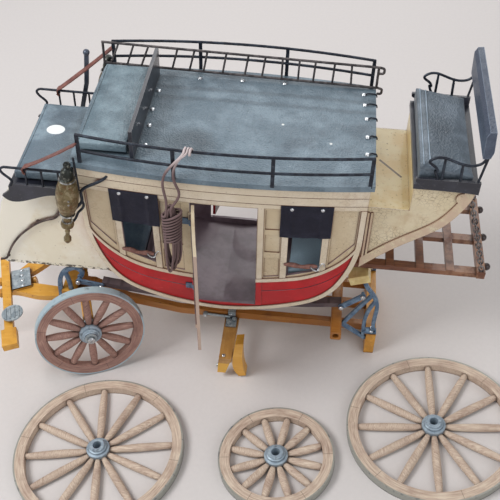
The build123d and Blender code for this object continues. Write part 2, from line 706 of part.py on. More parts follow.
# Arm rails of the driver's seat, with a curl at the front, and the straps up to the roof
arm_y = -seat_half + seat_side_thickness / 2
arm_bend = (seat_front_x + 7, arm_y, arm_z + 0.4)
arm_end = (seat_rear_x - 3, arm_y, arm_z)
arm = bent_rod([
    (seat_front_x + 9.5, arm_y, seat_top_z + 0.5), (seat_front_x + 11, arm_y, seat_top_z + 5.8),
    (seat_front_x + 7.5, arm_y, seat_top_z + 9.6), (seat_front_x + 3.5, arm_y, arm_z - 3), arm_bend], arm_radius)
arm += Pos(*arm_bend) * Sphere(arm_radius) + rod(arm_bend, arm_end, arm_radius)
for x in (seat_front_x + 24, seat_front_x + 37.5, seat_front_x + 51.5):
    arm += rod((x, arm_y, seat_board_z), (x, arm_y, arm_z), arm_radius - 0.2)
arm -= seat_sides[0]
strap_start = Vector(roof_front + 6.5, -rail_half_end - 2.0, rail_z - 9)
strap_end = Vector(seat_front_x + 25, arm_y, arm_z + arm_radius + 1.2)
strap_plane = Plane(origin=strap_start, z_dir=strap_end - strap_start)
strap = extrude(strap_plane * Rectangle(1.2, 4), amount=(strap_end - strap_start).length)
keep("seat_straps", on_coach, both_sides(strap))

# Brake lever on the right side of the boot
lever_y = seat_half + 11.0
lever_foot = (-119, 178)
lever = flat_link((-103, 262), (-106, 232), 4, lever_y, 2)
lever += flat_link((-106, 232), lever_foot, 4, lever_y, 2)
lever += rod((lever_foot[0], boot_half, lever_foot[1]), (lever_foot[0], lever_y, lever_foot[1]), 2)
lever += Pos(-103, lever_y, 264) * Sphere(3)
keep("brake_lever", on_coach, lever)

# Curved iron rods on the boot sides, from under the seat down to the foot board
foot_rod_y = -boot_half - foot_rod_radius - 0.4
foot_rod_points = [(-108.2, 181.7), (-111.6, 172.0), (-127.6, 164.3), (-146.2, 147.7), (-159.3, 128.9),
                   (-164.5, 116.0), (-171.0, 112.5)]
foot_rod = bent_rod([(x, foot_rod_y, z) for x, z in foot_rod_points], foot_rod_radius)
for x, z in (foot_rod_points[0], foot_rod_points[2], foot_rod_points[4]):
    foot_rod += rod((x, -boot_half, z), (x, foot_rod_y - foot_rod_radius - 0.4, z), foot_rod_radius + 0.6)
keep("foot_rods", on_coach, both_sides(foot_rod))

# Carriage lamps on scrolled brackets at the front corners, leaning a little to the rear
lamp_lean = 6.4
lamp_x, lamp_y, lamp_middle_z = -90.2, -(body_half_top_end + 12.0), 213.0
lamp_outline = [  # radius, height
    (0, 170.5), (1.6, 171), (3.2, 173.5), (3.2, 176.5), (1.8, 179), (1.8, 186), (3.2, 188), (5.5, 190.5),
    (5.5, 194.5), (3.4, 197), (3.4, 203), (5.0, 205.5), (7.2, 209), (9.3, 221), (9.3, 227), (8.0, 236),
    (7.4, 241), (6.0, 242.5), (6.0, 251), (4.6, 253), (4.6, 257), (0, 257)]
lamp_edge = Polyline(*[(r, 0, z - lamp_middle_z) for r, z in lamp_outline], close=True)
lamp = revolve(make_face(lamp_edge), axis=Axis.Z)
lamp = Pos(lamp_x, lamp_y, lamp_middle_z) * Rotation(0, lamp_lean, 0) * lamp
bracket_y = lamp_y + 4.5
scroll = [(-57.0, bracket_y + 3.4, 241.3), (-68.0, bracket_y + 2, 232.5), (-78.8, bracket_y, 224.4),
          (-78.9, bracket_y, 215.9), (-83.0, bracket_y, 209.0), (-88.5, bracket_y - 2.8, 203.0)]
bracket = bent_rod(scroll, 1.3)
bracket += bent_rod([(-78.8, bracket_y, 214.5), (-79.8, bracket_y, 206.5), (-83.4, bracket_y, 202.0),
                     (-85.6, bracket_y, 197.1), (-88.5, bracket_y - 1, 192.5)], 1.1)
bracket += rod((-80.2, bracket_y, 226.0), (-81.3, bracket_y, 258.8), 0.9)
lamp_outer = body_block(-moulding_proud - 0.4)
keep("lamps", on_coach, both_sides(lamp))
keep("lamp_brackets", on_coach, both_sides(bracket - lamp - lamp_outer))

# Rear boot: hollow case under the rear seat, footwell floor and riser
boot_edge = [  # lower edge of the side from the seat down to the body
    (rear_seat_end_x, rear_seat_z), (229.5, 232.8), (223.7, 220.5), (214.3, 206.3), (200.2, 193.5),
    (185.5, 182.6), (170.5, 170.2), (157.7, 157.9), (body_rear_x + 0.3, 150.4)]


def boot_prism(inset, front_x, rear_x, half):
    """The rear boot's block, drawn in by inset along its curved lower edge."""
    curve = Spline(*[xz(*point) for point in offset_line(boot_edge, inset)])
    corner = xz(60, rear_seat_z + 60)
    block = side_prism([curve, Line(curve @ 1, corner), Line(corner, curve @ 0)], -half, half)
    step_cut = box(0, riser_x + inset, -90, 90, footwell_z - inset, 400)
    return (block & box(front_x, rear_x, -90, 90, 100, rear_seat_z - inset)) - step_cut


rear_case = boot_prism(0.0, body_rear_x + 0.3, rear_seat_end_x, rear_boot_half)
moulding_y = -rear_boot_half - moulding_proud
boot_moulding = curved_strip(boot_edge, 0.0, -boot_edge_width, moulding_y, -rear_boot_half)
boot_moulding &= box(body_rear_x + 0.3, rear_seat_end_x, moulding_y, -rear_boot_half, 150, rear_seat_z)
for x in (body_rear_x + 1.2, body_rear_x + 4.0):
    boot_moulding += box(x, x + 1.8, moulding_y, -rear_boot_half, 163, footwell_z - 5)
scroll_place = Pos(rear_seat_end_x - 8.5, moulding_y + moulding_proud / 2, rear_seat_z - 7.5) * Rotation(90, 0, 0)
boot_moulding += scroll_place * Cylinder(5.5, moulding_proud)
for moulding in both_sides(boot_moulding):
    rear_case += moulding
rear_case -= boot_prism(boot_wall, body_rear_x + 3.3, rear_seat_end_x - 3, rear_boot_half - boot_wall)
keep("rear_boot", on_coach, rear_case)

# Rear seat: board between side boards with a curled front, cushion, back board and arm rails
rear_top_z = rear_seat_z + rear_seat_thickness
side_front = (riser_x + 1.7, rear_seat_z + 7.9)
side_high = (riser_x - 2.3, rear_seat_z + 24.4)
side_rear = (rear_seat_end_x + 1.5, rear_seat_z + 12.8)
rear_side = side_prism([
    ThreePointArc(xz(*side_front), xz(riser_x - 4.2, rear_seat_z + 15.5), xz(*side_high)),
    Spline(xz(*side_high), xz(200.6, rear_seat_z + 19.5), xz(*side_rear)),
    Line(xz(*side_rear), xz(side_rear[0], rear_seat_z + 0.6)),
    Spline(xz(side_rear[0], rear_seat_z + 0.6), xz(215.2, rear_seat_z + 1.8), xz(197.0, rear_seat_z + 2.6),
           xz(riser_x + 6, rear_seat_z + 4.0), xz(*side_front)),
], -rear_seat_half - seat_side_thickness, -rear_seat_half)
rear_sides = both_sides(rear_side)
rear_board = box(riser_x - 1, side_rear[0], -rear_seat_half, rear_seat_half, rear_seat_z, rear_top_z)
keep("rear_seat_board", on_coach, rear_board + rear_sides[0] + rear_sides[1])
cushion_outline = [(riser_x + 2, rear_top_z + soft_gap), (rear_seat_end_x - 3, rear_top_z + soft_gap),
                   (rear_seat_end_x - 3, rear_top_z + 10), (riser_x + 2, rear_top_z + 17)]
cushion_half = rear_seat_half - 3
keep("rear_seat_cushion", on_coach, side_prism(polygon_xz(cushion_outline), -cushion_half, cushion_half))
back_outline = [
    (229.6, 279.0), (228.4, 299.0), (230.6, 303.6), (235.4, 304.2), (237.0, 286.0), (235.5, 280.0)]
back_half = rear_seat_half + seat_side_thickness
rear_back = side_prism(polygon_xz(back_outline), -back_half, back_half)
keep("rear_seat_back", on_coach, rear_back)
rear_arm_y = -rear_seat_half - seat_side_thickness / 2
rear_arm_points = [
    (197.7, 261.0), (195.2, 268.2), (191.6, 271.7), (195.5, 275.7), (206.1, 275.2), (221.9, 271.0),
    (228.6, 272.7), (232.6, 281.0)]
rear_arm = bent_rod([(x, rear_arm_y, z) for x, z in rear_arm_points], arm_radius)
for low_x, high_x, high_z in ((203.0, 202.9, 275.2), (217.4, 216.6, 272.4), (230.6, 234.2, 281.0)):
    rear_arm += rod((low_x, rear_arm_y, rear_top_z + 4), (high_x, rear_arm_y, high_z), arm_radius - 0.1)
rear_arm -= rear_sides[0] + rear_back
keep("arm_rails", on_coach, both_sides(arm, rear_arm))

# Luggage platform: three long bars, three cross bars and the end bar with knobs
long_y = (-platform_half, 0.0, platform_half)
cross_x = (178.0, 204.0, 230.0)
platform = box(platform_rear_x - 7, platform_rear_x, -end_bar_half, end_bar_half,
               platform_z + 3, platform_z + 10)
for y in long_y:
    platform += box(platform_front_x, platform_rear_x, y - 4, y + 4, platform_z, platform_z + 5)
for x in cross_x:
    platform += box(x - 3.5, x + 3.5, -platform_half - 4, platform_half + 4, platform_z + 1, platform_z + 6)
for y in (-37.0, 0.0, 37.0):
    platform += Pos(platform_rear_x + 2.2, y, platform_z + 6.5) * Sphere(3.4)
keep("luggage_platform", on_coach, platform - body_outer)

# Chains that hang the platform's end bar from the rear boot
chain_y = -end_bar_half + 2.0
chain = bent_rod([(rear_seat_end_x - 1.5, chain_y, 236.0), (232.6, chain_y, 226.2), (242.7, chain_y, 194.5),
                  (platform_rear_x - 3.5, chain_y, platform_z + 10)], chain_radius)
keep("chains", on_coach, both_sides(chain - rear_case - box(
    platform_rear_x - 7, platform_rear_x, -90, 0, 0, platform_z + 10)))

# Perches from the front bolster to the rear bar
bolster_top = bolster_z + bolster_height
perch_line = [  # x, top z
    (king_bolt_x + 6, bolster_top), (-92.0, bolster_top), (-60.0, 58.0), (-10.0, perch_top_z),
    (rear_bar_x, perch_top_z)]
lower_line = [(x, z - perch_height) for x, z in reversed(perch_line)]
perches = [side_prism(polygon_xz(perch_line + lower_line), y - perch_width / 2, y + perch_width / 2)
           for y in (-perch_y, 0.0, perch_y)]
keep("perches", on_coach, perches)
front_bolster = box(king_bolt_x - 6, king_bolt_x + 6, -bolster_half, bolster_half, bolster_z, bolster_top)
keep("front_bolster", on_coach, front_bolster)
bolt_low = 41.0
king_bolt = Pos(king_bolt_x, 0, bolt_low) * disc(king_bolt_radius, bolster_z - bolt_low)
keep("king_bolt", on_coach, king_bolt + Pos(king_bolt_x, 0, bolt_low - 2) * disc(4, 3))


def axle_bar(x, z):
    """An axle with rounded edges along Y."""
    section = RectangleRounded(axle_width, axle_width, axle_rounding)
    bar = extrude(section, amount=axle_half_length, both=True)
    return Pos(x, 0, z) * Rotation(90, 0, 0) * bar


rear_axle = axle_bar(rear_axle_x, rear_axle_z)
block_top = rear_axle_z - axle_width / 2 + 1
for y in (-perch_y, 0.0, perch_y):
    rear_axle += box(rear_axle_x - 3, rear_axle_x + 3, y - 3, y + 3, perch_top_z, block_top)
bore = Rotation(90, 0, 0) * disc(axle_bore_radius, axle_bore_depth)
rear_axle -= Pos(rear_axle_x, axle_half_length, rear_axle_z) * bore
rear_axle -= Pos(rear_axle_x, -axle_half_length + axle_bore_depth, rear_axle_z) * bore
keep("rear_axle", on_coach, rear_axle)
rear_bar = box(rear_bar_x, rear_bar_x + rear_bar_width, -rear_bar_half, rear_bar_half,
               rear_bar_bottom_z, rear_bar_bottom_z + rear_bar_height)
keep("rear_bar", on_coach, rear_bar)
spring_bar = Pos(153.6, 0, 128.6) * Rotation(0, -20, 0) * Box(18, 100, 9)
keep("spring_bar", on_coach, spring_bar)

# Iron stands that carry the braces
rear_bar_top = rear_bar_bottom_z + rear_bar_height
rear_stand_lines = [  # width, then x and z along the strap
    (3.4, [(144.4, 60.9), (155.5, 81.5), (167.5, 102.5)]),
    (3.4, [(144.4, 60.9), (154.5, 53.5), (166.2, 45.0)]),
    (3.0, [(165.2, rear_bar_top - 6), (164.8, 53.7), (164.6, 68.0), (166.4, 80.9), (171.5, 94.5)]),
    (3.4, [(175.0, rear_bar_top + 1), (173.5, 74.9), (173.2, 92.7), (168.2, 104.2), (161.5, 114.5),
           (159.3, 126.5)])]
front_stand_lines = [
    (4.0, [(-122.0, 66.5), (-121.3, 83.0), (-117.6, 95.5), (-110.0, 102.6), (-103.0, 104.4), (-99.0, 99.8),
           (-101.2, 93.0)]),
    (3.4, [(-114.6, 95.6), (-112.4, 86.0), (-111.8, bolster_top)])]
stand_parts = []
for lines in (rear_stand_lines, front_stand_lines):
    width, points = lines[0]
    stand = bent_strap(points, width, -brace_y, stand_thickness)
    for width, points in lines[1:]:
        stand += bent_strap(points, width, -brace_y, stand_thickness)
    stand_parts.append(stand)
stand_parts[0] += box(165.0, rear_bar_x + rear_bar_width, -brace_y - 3, -brace_y + 3,
                      rear_bar_top, rear_bar_top + 2.4)
stand_cut = rear_bar + front_bolster + spring_bar + rear_axle
keep("brace_stands", on_coach, both_sides(*[stand - stand_cut for stand in stand_parts]))

# Leather braces under the body, with shackles to the stands
brace_edges = [
    ThreePointArc(xz(-80, 92), xz(33, body_bottom_z - seat_gap), xz(141, 93)),
    Line(xz(141, 93), xz(141, 93 - brace_thickness)),
    ThreePointArc(xz(141, 93 - brace_thickness), xz(33, body_bottom_z - seat_gap - brace_thickness),
                  xz(-80, 92 - brace_thickness)),
    Line(xz(-80, 92 - brace_thickness), xz(-80, 92)),
]
brace = side_prism(brace_edges, -brace_y - brace_width / 2, -brace_y + brace_width / 2)
keep("braces", on_coach, both_sides(brace))
shackle_y = -brace_y - brace_width / 2 - soft_gap - 1.5
shackles = []
for stand_eye, brace_eye in (((-101.2, 93.0), (-80, 89.5)), ((159.0, 106.6), (141, 90.5))):
    shackle = flat_link(stand_eye, brace_eye, 5, shackle_y, 2)
    for x, z in (stand_eye, brace_eye):
        shackle += rod((x, shackle_y - 2.2, z), (x, shackle_y, z), 2.0)
    shackle += rod((stand_eye[0], shackle_y, stand_eye[1]),
                   (stand_eye[0], -brace_y - stand_thickness / 2, stand_eye[1]), 1.5)
    shackle += rod((brace_eye[0], shackle_y, brace_eye[1]),
                   (brace_eye[0], -brace_y - brace_width / 2 - soft_gap, brace_eye[1]), 1.5)
    shackles.append(shackle)
keep("shackles", on_coach, both_sides(*shackles))

# Brake beam under the perches, with a foot and a curved shoe at each end, and its irons
beam_top = perch_top_z - perch_height
beam_front_x, beam_rear_x = 33.0, 46.5
beam_half, beam_thickness = 81.0, 5.0
brake_plan = Polyline((beam_front_x, -beam_half, beam_top), (beam_front_x, beam_half, beam_top),
                      (beam_rear_x - 1.5, beam_half, beam_top), (beam_rear_x, 30, beam_top),
                      (beam_rear_x, -30, beam_top), (beam_rear_x - 1.5, -beam_half, beam_top), close=True)
brake = extrude(make_face(brake_plan), amount=beam_thickness, dir=(0, 0, -1))
foot_outline = [(beam_front_x, beam_top), (beam_rear_x - 1.5, beam_top), (39.2, 20.0), (31.6, 20.0)]
beam_foot = side_prism(polygon_xz(foot_outline), -beam_half, -beam_half + 7)
for foot in both_sides(beam_foot):
    brake += foot
keep("brake_beam", on_coach, brake)
shoe_high, shoe_low = (48.2, 61.5), (52.2, 15.6)
shoe = side_prism([
    Line(xz(*shoe_high), xz(55.4, 63.5)),
    Spline(xz(55.4, 63.5), xz(54.8, 50), xz(55.3, 35), xz(56.8, 24), xz(58.8, 17.4)),
    Line(xz(58.8, 17.4), xz(*shoe_low)),
    Spline(xz(*shoe_low), xz(46.8, 26), xz(beam_rear_x - 1.0, 38), xz(46.8, 50), xz(*shoe_high)),
], -beam_half + 1, -beam_half + 13)
keep("brake_shoes", on_coach, both_sides(shoe - brake))
perch_face = -perch_y - perch_width / 2
hanger = box(36, 43, perch_face - 1.4, perch_face, beam_top, perch_top_z)
hanger += box(36, 43, perch_face - 1.4, -perch_y + perch_width / 2, perch_top_z, perch_top_z + 1.4)
hanger += box(34.5, 44.5, perch_face - 12, perch_face - 0.1, beam_top, beam_top + 1.4)
hanger += rod((37.5, perch_face - 9, beam_top), (37.5, perch_face - 9, beam_top + 4), 1.8)
hanger += rod((42.0, perch_face - 4, beam_top), (42.0, perch_face - 4, beam_top + 4), 1.8)
stay_y = perch_face - 1.5
hanger += rod((14.0, stay_y, beam_top + 4), (38.0, stay_y, beam_top + 3.0), 1.2)
hanger += rod((14.0, perch_face, beam_top + 4), (14.0, stay_y - 1.8, beam_top + 4), 2.2)
keep("brake_irons", on_coach, both_sides(hanger))

# Front gear: axle with bored ends, axle bed, hounds, splinter bar, steps and pole
half_axle = axle_width / 2
front_axle = axle_bar(0, front_axle_z)
front_axle -= Pos(0, axle_half_length, front_axle_z) * bore
bolt_hole = Cylinder(king_bolt_radius + hub_bore_clearance, 200)
front_axle -= bolt_hole
axle_top = front_axle_z + half_axle
keep("front_axle", on_gear, front_axle)
hound_height = 6.0
hound_fall = 10.0
hound_front = -80.0
hound_side = side_prism(polygon_xz([
    (16, axle_top + hound_height), (-8, axle_top + hound_height),
    (hound_front, axle_top + hound_height - hound_fall), (hound_front, axle_top - hound_fall),
    (-8, axle_top), (16, axle_top)]), -60, 60)
hound_edge = Spline(
    (16, -35, 0), (-20, -33, 0), (-46.6, -24.1, 0), (-67.6, -11.5, 0), (hound_front, -11.0, 0))
hound_plan = extrude(make_face([
    hound_edge,
    Line((hound_front, -11.0, 0), (hound_front, -4.8, 0)),
    Line((hound_front, -4.8, 0), (-56, -4.8, 0)),
    Spline((-56, -4.8, 0), (-42, -10, 0), (-25.3, -19.2, 0), (16, -22.5, 0)),
    Line((16, -22.5, 0), (16, -35, 0))]), amount=100, dir=(0, 0, 1))
hound = hound_side & hound_plan


def hound_top(x):
    """Height of the hounds' upper face at x."""
    return axle_top + hound_height - hound_fall * (-8 - x) / (-8 - hound_front)


plate_rear, plate_front = -49.0, -67.8
hound_plate = side_prism(polygon_xz([
    (plate_rear, hound_top(plate_rear)), (plate_rear, hound_top(plate_rear) + 1.6),
    (plate_front, hound_top(plate_front) + 1.6), (plate_front, hound_top(plate_front))]), -12.5, 12.5)
pole_pin = rod((-50, -13, axle_top - 5), (-50, -4.8, axle_top - 5), 1.5)
hounds = both_sides(hound + pole_pin)
keep("hounds", on_gear, hounds[0] + hounds[1] + hound_plate)
bed_bottom = axle_top + hound_height
bed = box(-6, 6, -40, 40, bed_bottom, bolster_z - seat_gap) - bolt_hole
bed += box(-5, 5, -17, 17, axle_top, bed_bottom) - bolt_hole
keep("axle_bed", on_gear, bed)
fall_angle = degrees(atan2(hound_fall, -8 - hound_front))
splinter_x = -72.0
splinter_width, splinter_half = 8.0, 84.0
splinter_bottom = hound_top(splinter_x)
splinter_place = Location((splinter_x, 0, splinter_bottom)) * Rotation(0, -fall_angle, 0)
splinter = splinter_place * Pos(0, 0, 3) * Box(splinter_width, 2 * splinter_half, 6)
for side in (-1, 1):
    splinter += splinter_place * Pos(0, side * (splinter_half - 10), 3) * Box(splinter_width + 6, 20, 7)
keep("splinter_bar", on_gear, splinter)
step_post = splinter_place * Pos(2.5, -50, 6) * disc(1.6, 4)
step_plate = splinter_place * Pos(5.5, -50, 10) * extrude(Ellipse(10, 9.5), amount=1.2)
for rib in (-6.0, -2.0, 2.0, 6.0):
    step_plate += splinter_place * Pos(5.5 + rib, -50, 11.2) * Box(1.2, 14, 1.0)
keep("step_plates", on_gear, both_sides(step_post + step_plate))

# Pole, held between the hounds and lying with its tip on the floor
pole_root = Vector(-44, 0, axle_top - 3.4)


def pole_tip(slope):
    return Vector(pole_root.X - pole_length * cos(slope), 0, pole_root.Z - pole_length * sin(slope))


def height_over_floor(point):
    coach_x = king_bolt_x + point.X * cos(turn) - point.Y * sin(turn)
    return -coach_x * sin(pitch) + point.Z * cos(pitch) - floor_level


low_slope, high_slope = radians(2), radians(45)
for step in range(40):
    pole_slope = (low_slope + high_slope) / 2
    if height_over_floor(pole_tip(pole_slope)) > pole_tip_radius + 1.0:
        low_slope = pole_slope
    else:
        high_slope = pole_slope
tip = pole_tip(pole_slope)
pole_axis = (tip - pole_root).normalized()
pole_plane = Plane(origin=pole_root, z_dir=pole_axis)
pole = loft([pole_plane * Circle(pole_root_radius),
             pole_plane.offset(pole_length) * Circle(pole_tip_radius)])
keep("pole", on_gear, pole)

# Wheel pin and stepped cap that hold the mounted wheel
gear_outward = Vector(0, -cos(lean), sin(lean))
gear_face = Vector(0, -front_track_half, front_axle_z)
pin_start = gear_face - gear_outward * (felloe_depth + 14)
pin_end = gear_face + gear_outward * (hub_length - felloe_depth + 1.0)
pin = rod(pin_start, pin_end, hub_bore / 2 - hub_bore_clearance)
collar = rod(pin_start, gear_face - gear_outward * (felloe_depth + 0.4), 4.5)
cap_start = gear_face + gear_outward * (hub_length - felloe_depth + hub_bore_clearance)
cap = rod(cap_start, cap_start + gear_outward * 1.0, hub_face_radius - 1.2)
cap += rod(cap_start, cap_start + gear_outward * 3.6, 2.8)
cap -= rod(cap_start + gear_outward * 2.2, cap_start + gear_outward * 5, 1.4)
keep("wheel_pin", on_gear, (pin + collar + cap) - front_axle)

os.makedirs("parts", exist_ok=True)
for name, shape in nodes.items():
    export_step(shape, f"parts/{name}.step")
print(len(nodes), "nodes")


def report(name, place, start, end):
    """Prints a point and a direction of the coach or gear frame in the stored frame."""
    first = (place * Pos(*start)).position
    second = (place * Pos(*end)).position
    print(name, first, (second - first).normalized())


report("steering", on_coach, (king_bolt_x, 0, bolster_z), (king_bolt_x, 0, bolster_z + 100))
report("wheel spin", on_coach, tuple(face_centre), tuple(face_centre + outward * 100))
report("left door hinge", on_coach, tuple(hinge_low), tuple(hinge_high))
report("rear axle bore left", on_coach, (rear_axle_x, -axle_half_length, rear_axle_z),
       (rear_axle_x, -axle_half_length - 100, rear_axle_z))
report("rear axle bore right", on_coach, (rear_axle_x, axle_half_length, rear_axle_z),
       (rear_axle_x, axle_half_length + 100, rear_axle_z))
report("front axle bore right", on_gear, (0, axle_half_length, front_axle_z),
       (0, axle_half_length + 100, front_axle_z))
whole = Compound(list(nodes.values())).bounding_box()
print("whole", whole.min, whole.max)
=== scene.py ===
import json
import math

import bmesh
import bpy
from mathutils import Matrix, Vector
from mathutils.bvhtree import BVHTree


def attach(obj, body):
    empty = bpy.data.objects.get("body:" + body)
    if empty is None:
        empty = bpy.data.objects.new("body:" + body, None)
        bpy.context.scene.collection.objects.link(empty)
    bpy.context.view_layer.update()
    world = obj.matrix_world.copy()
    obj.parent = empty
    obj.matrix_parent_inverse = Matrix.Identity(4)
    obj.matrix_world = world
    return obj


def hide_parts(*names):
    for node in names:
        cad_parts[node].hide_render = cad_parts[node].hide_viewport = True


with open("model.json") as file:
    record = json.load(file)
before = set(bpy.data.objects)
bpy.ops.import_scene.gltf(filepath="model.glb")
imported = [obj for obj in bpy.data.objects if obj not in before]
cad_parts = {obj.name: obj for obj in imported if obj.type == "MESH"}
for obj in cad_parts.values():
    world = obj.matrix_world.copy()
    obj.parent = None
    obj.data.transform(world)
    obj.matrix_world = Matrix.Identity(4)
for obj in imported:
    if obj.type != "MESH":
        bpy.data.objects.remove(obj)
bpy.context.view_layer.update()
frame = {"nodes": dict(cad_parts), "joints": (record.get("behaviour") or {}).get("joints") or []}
parts = frame["nodes"]


# The display stands on a plain pale floor under soft studio light, and it is seen from above its
# left side, a little to the rear, as in the photograph.
lens = 64.8
camera_place = Vector((0.22705, -0.5411, 0.67645))
camera_aim = Vector((0.1207, 0.0512, 0.1))
camera_roll = math.radians(-6.3)
camera = bpy.data.objects.new("camera", bpy.data.cameras.new("camera"))
camera.data.lens = lens
camera.data.clip_start = 0.01
camera.location = camera_place
camera.rotation_mode = "QUATERNION"
level_view = (camera_aim - camera_place).to_track_quat("-Z", "Y")
camera.rotation_quaternion = level_view @ Matrix.Rotation(camera_roll, 3, "Z").to_quaternion()
bpy.context.scene.collection.objects.link(camera)
bpy.context.scene.camera = camera
bpy.context.scene.view_settings.view_transform = "Standard"


def tint(red, green, blue):
    """A colour for a shader, from the 0 to 255 values that a screen shows."""
    shares = [value / 255 for value in (red, green, blue)]
    return (*[s / 12.92 if s < 0.04045 else ((s + 0.055) / 1.055) ** 2.4 for s in shares], 1.0)


def stage_light(name, place, aim, size, power):
    """A soft square lamp at a place, turned to face the aim."""
    lamp = bpy.data.objects.new(name, bpy.data.lights.new(name, "AREA"))
    lamp.data.size = size
    lamp.data.energy = power
    lamp.location = place
    lamp.rotation_mode = "QUATERNION"
    lamp.rotation_quaternion = (Vector(aim) - Vector(place)).to_track_quat("-Z", "Y")
    bpy.context.scene.collection.objects.link(lamp)


stage_light("key_light", (-0.75, -0.35, 1.25), (0.0, 0.05, 0.1), 0.7, 15)
stage_light("fill_light", (1.1, -1.0, 0.9), (0.05, 0.05, 0.1), 1.2, 7)
stage_light("back_light", (0.2, 1.2, 1.1), (0.0, 0.05, 0.1), 1.0, 8)
world = bpy.data.worlds.new("studio")
world.use_nodes = True
world.node_tree.nodes["Background"].inputs["Color"].default_value = tint(236, 236, 238)
world.node_tree.nodes["Background"].inputs["Strength"].default_value = 0.47
bpy.context.scene.world = world

floor_half = 6.0
floor_mesh = bpy.data.meshes.new("floor")
floor_mesh.from_pydata([(-floor_half, -floor_half, 0), (floor_half, -floor_half, 0),
                        (floor_half, floor_half, 0), (-floor_half, floor_half, 0)], [], [(0, 1, 2, 3)])
floor = bpy.data.objects.new("floor", floor_mesh)
bpy.context.scene.collection.objects.link(floor)


class Finish:
    """A surface finish: one material, with short calls that add what the real surface shows."""

    def __init__(self, name, colour, roughness, metallic=0.0, coat=0.0):
        self.material = bpy.data.materials.new(name)
        self.material.use_nodes = True
        self.nodes = self.material.node_tree.nodes
        self.shader = self.nodes["Principled BSDF"]
        self.shader.inputs["Base Color"].default_value = tint(*colour)
        self.shader.inputs["Roughness"].default_value = roughness
        self.shader.inputs["Metallic"].default_value = metallic
        self.shader.inputs["Coat Weight"].default_value = coat
        self.where = self.add("TexCoord", {}).outputs["Object"]

    def join(self, source, target):
        self.material.node_tree.links.new(source, target)

    def add(self, kind, inputs, **settings):
        """A node with its settings, whose inputs are set to values or joined to sockets."""
        made = self.nodes.new("ShaderNode" + kind)
        for setting, value in settings.items():
            setattr(made, setting, value)
        for name, value in inputs.items():
            if isinstance(value, bpy.types.NodeSocket):
                self.join(value, made.inputs[name])
            else:
                made.inputs[name].default_value = value
        return made

    def calc(self, way, *values):
        """A sum on sockets and numbers."""
        return self.add("Math", dict(enumerate(values)), operation=way).outputs[0]

    def mapped(self, own, scale=(1, 1, 1)):
        """Coordinates that are brought into a piece's own frame and then stretched."""
        place, turn = own.to_translation(), own.to_euler()
        local = self.add("Mapping", {"Vector": self.where, "Location": place, "Rotation": turn},
                         vector_type="TEXTURE")
        return self.add("Mapping", {"Vector": local.outputs[0], "Scale": scale}).outputs[0]

    def axes(self, own):
        """X, Y and Z in a piece's own frame, in metres."""
        return tuple(self.add("SeparateXYZ", {0: self.mapped(own)}).outputs)

    def noise(self, size, detail=4.0, along=None):
        """Cloudy noise whose patches are about size metres across."""
        return self.add("TexNoise", {"Vector": along or self.where, "Scale": 1 / size, "Detail": detail,
                                     "Roughness": 0.6}).outputs["Fac"]

    def cells(self, size, feature="DISTANCE_TO_EDGE"):
        """Distance to the lines, or the middles, of an irregular net with cells of about size metres."""
        net = self.add("TexVoronoi", {"Vector": self.where, "Scale": 1 / size}, feature=feature)
        return net.outputs["Distance"]

    def ramp(self, value, low, high, flip=False):
        """A value's share between low and high, or what is left of it."""
        made = self.add("MapRange", {"Value": value, "From Min": low, "From Max": high, "To Min": float(flip),
                                     "To Max": float(not flip)}, interpolation_type="SMOOTHSTEP")
        return made.outputs["Result"]

    def within(self, value, low, high, soft):
        """Share 1 where a value is between low and high, with soft ends."""
        return self.calc("MULTIPLY", self.ramp(value, low - soft, low),
                         self.ramp(value, high, high + soft, flip=True))

    def oval(self, x, y, middle, half=(1.0, 1.0)):
        """Squared distance from a spot's middle, which is 1 on an oval of the given half widths."""
        squares = []
        for value, centre, reach in zip((x, y), middle, half):
            off = self.calc("DIVIDE", self.calc("SUBTRACT", value, centre), reach)
            squares.append(self.calc("POWER", off, 2.0))
        return self.calc("ADD", *squares)

    def paint(self, share, colour, strength=1.0):
        """Lays a colour over what is there, by a share from 0 to 1 that the strength may weaken."""
        if strength != 1.0:
            share = self.calc("MULTIPLY", share, strength)
        base = self.shader.inputs["Base Color"]
        below = base.links[0].from_socket if base.is_linked else base.default_value
        mix = self.add("Mix", {"Factor": share, 6: below, 7: tint(*colour)}, data_type="RGBA")
        self.join(mix.outputs[2], base)

    def mottle(self, size, low, high, colour, strength=1.0, detail=4.0):
        """Patches of a colour, about size metres across, that set in between two values of noise."""
        self.paint(self.ramp(self.noise(size, detail), low, high), colour, strength)

    def gloss(self, size, low, high):
        """Roughness that wanders between low and high, in patches about size metres across."""
        made = self.add("MapRange", {"Value": self.noise(size), "To Min": low, "To Max": high})
        self.join(made.outputs["Result"], self.shader.inputs["Roughness"])

    def relief(self, value, depth, strength=1.0):
        """A bump of the given depth in metres, over the bumps that are there."""
        made = self.add("Bump", {"Height": value, "Distance": depth, "Strength": strength})
        base = self.shader.inputs["Normal"]
        if base.is_linked:
            self.join(base.links[0].from_socket, made.inputs["Normal"])
        self.join(made.outputs["Normal"], base)

    def bumps(self, size, depth, strength=1.0):
        """Cloudy bumps about size metres across."""
        self.relief(self.noise(size), depth, strength)

    def crevices(self, reach, low=0.35, high=0.95):
        """Share of a point's surroundings that is closed in within reach metres."""
        closed = self.add("AmbientOcclusion", {"Distance": reach}, samples=8)
        return self.ramp(closed.outputs["AO"], low, high, flip=True)

    def meet(self, one, other):
        """How far two directions agree, from -1 to 1 for directions of length 1."""
        return self.add("VectorMath", {0: one, 1: other}, operation="DOT_PRODUCT").outputs["Value"]

    def corners(self, reach, low=0.02, high=0.12):
        """Share of a point that lies on a sharp or hollow corner, within reach metres of it."""
        rounded = self.add("Bevel", {"Radius": reach}, samples=4).outputs[0]
        flat = self.add("NewGeometry", {}).outputs["True Normal"]
        return self.ramp(self.calc("SUBTRACT", 1.0, self.meet(rounded, flat)), low, high)

